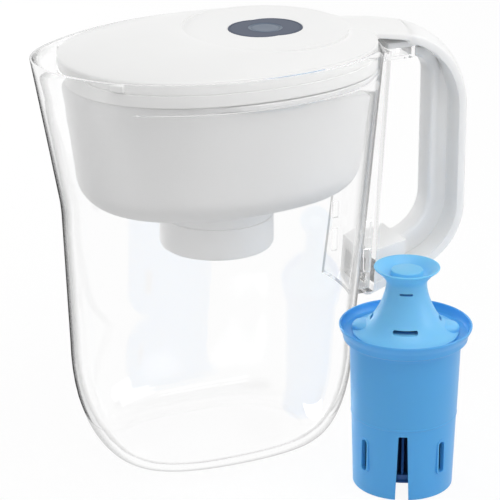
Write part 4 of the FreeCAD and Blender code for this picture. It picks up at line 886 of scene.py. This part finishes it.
def at_window(*rings):
    """Rings of the window's outline, each from its growth and its height over the face."""
    return [ring_window(grow, FACE_TOP + rise) for grow, rise in rings]


def at_button(*rings):
    """Circles round the disc's middle, from a radius and a height over the face."""
    return [ring_circle(DISC_X, radius, FACE_TOP + rise) for radius, rise in rings]


UNDERSIDE = DISC_LOW - FACE_TOP
bezel = skin("flush_bezel", at_window(
    (-0.05, UNDERSIDE), (0.95, UNDERSIDE), (0.95, -0.1), (0.8, 0.06), (0.1, 0.06), (-0.05, -0.1)),
    joined=True)
face_rings = at_window((-0.12, UNDERSIDE), (-0.12, -0.15), (-0.3, 0.0))
hole_rings = at_button((DISH_RADIUS, 0.0), (DISH_RADIUS - 0.15, -0.1),
                       (DISH_RADIUS - 0.15, UNDERSIDE))
half_way = blend_rings(face_rings[-1], hole_rings[0], 0.5)
face = skin("flush_face", face_rings + [half_way] + hole_rings, joined=True)
dish = skin("face_dish", at_button(
    (DISH_RADIUS - 0.2, UNDERSIDE), (DISH_RADIUS - 0.2, -0.05), (DISH_RADIUS - 0.5, 0.1),
    (DISH_RADIUS - 0.8, -0.05), (BUTTON_RADIUS + 0.12, -0.3), (BUTTON_RADIUS + 0.12, UNDERSIDE)),
    joined=True)
button = skin("round_button", at_button(
    (BUTTON_RADIUS, BUTTON_FOOT - FACE_TOP), (BUTTON_RADIUS, -0.4), (BUTTON_RADIUS - 0.1, -0.25),
    (BUTTON_RADIUS - 0.4, -0.2), (BUTTON_RADIUS / 2, -0.35)))
for piece, material, stands_for, slot in (
        (bezel, slate_plastic, "indicator_bezel", "bezel_plastic"),
        (face, slate_plastic, "indicator_face", "slate_plastic"),
        (dish, button_plastic, "", "slate_plastic"),
        (button, button_plastic, "reset_button", "button_plastic")):
    paint(piece, material)
    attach(piece, "button" if stands_for == "reset_button" else "lid")
    if stands_for:
        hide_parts(stands_for)
print("indicator: 4 pieces")

# %% [markdown]
# The cartridge is turned about its own axis and then set beside the pitcher, with its notch towards
# the viewer. Its windows are slots with round corners, cut straight through the wall from outside.

# %% Turned pieces and slots
FILTER_PLACE = Matrix.Translation(Vector((76.7, -96.2, 0.0)) * MM) @ Matrix.Rotation(
    math.radians(-28.3), 4, "Z")
RIGHT_THROUGH = (5.0, 45.0)


def turned(name, profile, joined=False):
    """A piece turned about the cartridge's axis from (radius, level) pairs."""
    return skin(name, [ring_circle(0.0, radius, level) for radius, level in profile], joined)


def rounded_slot(name, half_widths, low, high, corner, reach, angle):
    """A radial cutter or frame with round corners; the two half widths are at its foot and top."""
    points = []
    for side, level, middle in ((1, low, -45), (1, high, 45), (-1, high, 135), (-1, low, 225)):
        half_width = half_widths[0] if level == low else half_widths[1]
        centre = level + (corner if level == low else -corner)
        for turn in (-40, -20, 0, 20, 40):
            turned_by = math.radians(middle + turn)
            points.append((side * (half_width - corner) + corner * math.cos(turned_by),
                           centre + corner * math.sin(turned_by)))
    shape = plate(name, points, -reach[1], -reach[0])
    shape.data.transform(Matrix.Rotation(math.radians(angle), 4, "Z"))
    return shape


print("cartridge's axis at", [round(value, 4) for value in FILTER_PLACE.translation])

# %% [markdown]
# The housing tapers downwards, with a thin line round it where the lower part begins. Its flange is
# a shallow funnel: a thin rounded lip, a wall that leans inwards under it, and a lower step. Front
# and back have one tall notch each, and the windows beside them have small raised borders.

# %% Cartridge housing
FOOT_RADIUS, BAND_LEVEL, BORE_RADIUS, SLOT_ANGLE = 28.2, 43.5, 28.4, 47
housing = turned("cartridge_housing", [
    (FOOT_RADIUS - 0.4, 0.0), (FOOT_RADIUS, 0.4), (29.5, BAND_LEVEL - 1.0),
    (29.8, BAND_LEVEL - 0.7), (29.95, BAND_LEVEL), (29.75, BAND_LEVEL + 0.5),
    (29.8, BAND_LEVEL + 0.8), (31.0, 84.2), (31.3, 86.0), (32.2, 87.2), (34.0, 87.5),
    (34.7, 88.0), (34.9, 88.8), (35.1, 90.8), (35.6, 91.8), (36.6, 93.6), (37.15, 94.9),
    (37.2, 95.5), (36.9, 95.95), (36.4, 96.0), (36.0, 95.6), (35.7, 94.0), (35.0, 91.6),
    (34.4, 91.05), (33.6, 91.0), (BORE_RADIUS, 91.0), (BORE_RADIUS, BAND_LEVEL),
    (26.6, BAND_LEVEL), (26.6, 10.0), (25.0, 10.0), (25.0, 9.0), (26.6, 9.0), (26.6, 0.0)],
    joined=True)
for half_turn in (0, 180):
    for angle in (half_turn - SLOT_ANGLE, half_turn + SLOT_ANGLE):
        border = rounded_slot("border", (3.1, 3.1), 13.4, 34.1, 2.6, (27.2, 29.55), angle)
        carve(housing, border, "UNION")
        carve(housing, rounded_slot("slot", (2.0, 2.0), 14.5, 33.0, 1.7, RIGHT_THROUGH, angle))
    carve(housing, rounded_slot("notch", (3.9, 2.5), -6.0, 39.5, 0.8, RIGHT_THROUGH, half_turn))
finish_mesh(housing)
round_edges(housing, 0.3, 2, 40)
print("housing:", len(housing.data.vertices), "vertices")

# %% [markdown]
# The cap is a flat foot that sweeps up in one hollow curve to a slim neck. On the neck sits a
# dished knob with a plug in its middle, which the fingers lift. Air leaves through narrow slots,
# two of them in low round pads.

# %% Cartridge cap
PAD_OUTWARDS, SLIT_OUTWARDS = 22.3, 19.0
cap = turned("cartridge_cap", [
    (7.4, 126.8), (7.4, 103.2), (14.2, 103.2), (14.2, 96.8), (19.6, 96.8), (19.6, 92.8),
    (25.4, 92.8), (25.4, 91.0), (29.5, 91.0), (29.7, 91.3), (29.7, 92.1), (29.4, 92.5),
    (27.6, 93.3), (25.6, 94.3), (23.6, 95.6), (21.6, 97.2), (19.6, 99.2), (17.8, 101.6),
    (16.3, 104.2), (14.8, 107.2),
    (13.4, 110.6), (12.3, 114.0), (11.6, 117.2), (11.3, 120.2), (11.6, 122.0), (12.6, 123.7),
    (14.6, 125.9), (16.6, 127.8), (18.0, 128.9), (18.4, 129.5), (18.2, 129.95), (17.7, 130.0),
    (17.0, 129.7), (14.6, 128.0), (12.2, 126.0), (10.8, 125.1), (9.8, 124.9), (9.2, 125.1),
    (9.0, 125.5), (9.0, 127.7), (8.7, 128.2), (8.1, 128.4)])
for half_turn, side in ((0, -1), (180, 1)):
    carve(cap, rounded_slot("vent", (7.0, 7.0), 96.9, 99.3, 1.1, RIGHT_THROUGH, half_turn))
    carve(cap, rounded_slot("neck_slot", (3.6, 3.6), 116.6, 117.8, 0.5, RIGHT_THROUGH, half_turn))
    pad = turned("vent_pad", [(7.5, 91.2), (7.5, 94.3), (7.2, 95.3), (6.4, 96.2), (5.2, 96.7),
                              (3.0, 96.9)])
    pad.data.transform(Matrix.Translation((side * PAD_OUTWARDS * MM, 0, 0)))
    carve(cap, pad, "UNION")
    slit = round_edges(block("pad_slot", (-0.8, -2.8, 94.0), (0.8, 2.8, 104.0)), 0.3)
    slit.data.transform(Matrix.Translation((side * SLIT_OUTWARDS * MM, 0, 0)))
    carve(cap, slit)
finish_mesh(cap)
for piece, material, stands_for in ((housing, blue_plastic, "filter_housing"),
                                    (cap, blue_cap_plastic, "filter_cap")):
    piece.data.transform(FILTER_PLACE)
    paint(piece, material)
    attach(piece, "filter")
    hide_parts(stands_for)
print("cap:", len(cap.data.vertices), "vertices")

# %% [markdown]
# Clear plastic has no colour of its own, so a photographer stands a dark card beside the picture,
# and only the edges show it. Here two strips of the floor are such cards, hidden from the camera:
# a black one at the left, which only a first mirror image shows, and a grey one at the right, for
# all mirror and glass rays.

# %% Dark cards
AWAY, LEFTWARDS, RIGHTWARDS = (0.415, 0.910, 0.0), (-0.910, 0.415, 0.0), (0.910, -0.415, 0.0)


def seen_through(tree, light_path):
    """1 for rays that come from a mirror or out of glass."""
    return math_of(tree, "MAXIMUM", light_path.outputs["Is Glossy Ray"],
                   light_path.outputs["Is Transmission Ray"])


def along(tree, place, direction, start):
    """How far a place lies along a direction, less a start."""
    length = tree.nodes.new("ShaderNodeVectorMath")
    length.operation = "DOT_PRODUCT"
    length.inputs[1].default_value = direction
    tree.links.new(place, length.inputs[0])
    return math_of(tree, "SUBTRACT", length.outputs["Value"], start)


def card(tree, place, sideways, start, level, edges):
    """A strip that fans out beside the object; its edges are given as slopes from the view."""
    away = math_of(tree, "MAXIMUM", along(tree, place, AWAY, 0.0), 0.001)
    slope = math_of(tree, "DIVIDE", along(tree, place, sideways, start), away)
    strip = tree.nodes.new("ShaderNodeValToRGB")
    stops = strip.color_ramp.elements
    for position, tone_level in zip(edges[:3], (1.0, level, level)):
        stops.new(position).color = (tone_level, tone_level, tone_level, 1)
    stops[0].color = stops[-1].color = (1, 1, 1, 1)
    stops[-1].position = edges[3]
    tree.links.new(slope, strip.inputs["Fac"])
    return strip.outputs["Color"]


print("cards fan out along", AWAY)

# %% [markdown]
# The set is a studio table: a pale floor that shows as white, with the soft shadow of the object
# on it. Camera, mirror and glass rays see plain white, apart from the cards, and lamps see an
# ordinary pale floor.

# %% Floor
FLOOR_REACH, FLOOR_LEVEL, WHITE_SHARE, MIRRORED_ONCE = 4000, -0.4, 0.93, 1.5
floor = new_piece("floor", [(x * FLOOR_REACH, y * FLOOR_REACH, FLOOR_LEVEL)
                            for x, y in ((-1, -1), (1, -1), (1, 1), (-1, 1))], [(0, 1, 2, 3)])
floor_paint = shader_of("floor paint", (0.93, 0.93, 0.93), 0.9, Specular_IOR_Level=0.1)
tree = floor_paint.node_tree
paths = tree.nodes.new("ShaderNodeLightPath")
place = tree.nodes.new("ShaderNodeTexCoord").outputs["Object"]
white = tree.nodes.new("ShaderNodeEmission")
bent = tree.nodes.new("ShaderNodeEmission")
mirrored = math_of(tree, "SUBTRACT", paths.outputs["Is Glossy Ray"],
                   paths.outputs["Is Transmission Ray"])
black_card = tree.nodes.new("ShaderNodeMixRGB")
black_card.inputs["Color1"].default_value = (1, 1, 1, 1)
first_mirror = math_of(tree, "LESS_THAN", paths.outputs["Glossy Depth"], MIRRORED_ONCE)
tree.links.new(math_of(tree, "MULTIPLY", math_of(tree, "MAXIMUM", mirrored, 0.0), first_mirror),
               black_card.inputs["Fac"])
tree.links.new(card(tree, place, LEFTWARDS, 0.085, 0.01, (0.02, 0.06, 0.60, 0.85)),
               black_card.inputs["Color2"])
tree.links.new(black_card.outputs["Color"], bent.inputs["Color"])
tree.links.new(card(tree, place, RIGHTWARDS, 0.088, 0.45, (0.12, 0.22, 0.45, 0.65)),
               bent.inputs["Strength"])
straight = tree.nodes.new("ShaderNodeMixShader")
tree.links.new(math_of(tree, "MULTIPLY", paths.outputs["Is Camera Ray"], WHITE_SHARE),
               straight.inputs[0])
tree.links.new(tree.nodes["Principled BSDF"].outputs["BSDF"], straight.inputs[1])
tree.links.new(white.outputs["Emission"], straight.inputs[2])
through = tree.nodes.new("ShaderNodeMixShader")
tree.links.new(seen_through(tree, paths), through.inputs[0])
tree.links.new(straight.outputs["Shader"], through.inputs[1])
tree.links.new(bent.outputs["Emission"], through.inputs[2])
tree.links.new(through.outputs["Shader"], tree.nodes["Material Output"].inputs["Surface"])
paint(floor, floor_paint)
print("floor in place")

# %% [markdown]
# The world does the same for what lies beyond the floor. The camera, mirrors and glass see white,
# and everything else gets a weaker, even light, which keeps the shadows soft.

# %% Surroundings
world = bpy.data.worlds.new("studio")
bpy.context.scene.world = world
world.use_nodes = True
tree = world.node_tree
plain = tree.nodes["Background"]
plain.inputs["Strength"].default_value = 0.55
plain.inputs["Color"].default_value = (1, 1, 1, 1)
bright = tree.nodes.new("ShaderNodeBackground")
bright.inputs["Color"].default_value = (1, 1, 1, 1)
either = tree.nodes.new("ShaderNodeMixShader")
paths = tree.nodes.new("ShaderNodeLightPath")
seen = math_of(tree, "MAXIMUM", paths.outputs["Is Camera Ray"], seen_through(tree, paths))
tree.links.new(seen, either.inputs[0])
tree.links.new(plain.outputs["Background"], either.inputs[1])
tree.links.new(bright.outputs["Background"], either.inputs[2])
tree.links.new(either.outputs["Shader"], tree.nodes["World Output"].inputs["Surface"])
print("world in place")

# %% [markdown]
# Three large soft lamps light the object: a broad one above and in front, one at the right, and a
# rear one at the left that reaches the inside of the handle past the hopper. Large lamps give the
# wide, soft highlights of moulded plastic. The rear one is kept out of mirror rays, because its
# mirror image would draw bright lines on the clear plastic.

# %% Lamps
def area_lamp(name, place, aim, size, watts):
    lamp = bpy.data.lights.new(name, "AREA")
    lamp.shape = "RECTANGLE"
    lamp.size, lamp.size_y = size
    lamp.energy = watts
    holder = bpy.data.objects.new(name, lamp)
    bpy.context.scene.collection.objects.link(holder)
    holder.location = place
    holder.rotation_euler = (Vector(aim) - Vector(place)).to_track_quat("-Z", "Y").to_euler()
    return holder


area_lamp("overhead softbox", (0.1, -0.5, 1.5), (0.0, 0.0, 0.15), (1.2, 1.0), 8)
area_lamp("right softbox", (1.3, -0.9, 0.8), (0.0, 0.0, 0.15), (0.9, 0.9), 6)
rear = area_lamp("rear softbox", (-0.28, 1.2, 0.4), (0.13, 0.0, 0.17), (0.4, 0.6), 6)
rear.visible_glossy = False
print("lamps:", len(bpy.data.lights))

# %% [markdown]
# The camera was solved from the photograph: it looks down by about 21 degrees through a long lens,
# from the spout side of the front. The small shift puts the optical axis where it was found.

# %% Camera
camera_data = bpy.data.cameras.new("photograph")
camera_data.lens = 182.2
camera_data.sensor_width = 36.0
camera_data.shift_x = -0.0116
camera = bpy.data.objects.new("photograph", camera_data)
camera.location = (-0.5391, -1.2445, 0.640)
camera.rotation_euler = (math.radians(90 - 21.05), 0, math.radians(-24.53))
bpy.context.scene.collection.objects.link(camera)
bpy.context.scene.camera = camera
bpy.context.scene.view_settings.view_transform = "Standard"
print("camera:", round(camera.location.length, 2), "m from the object")
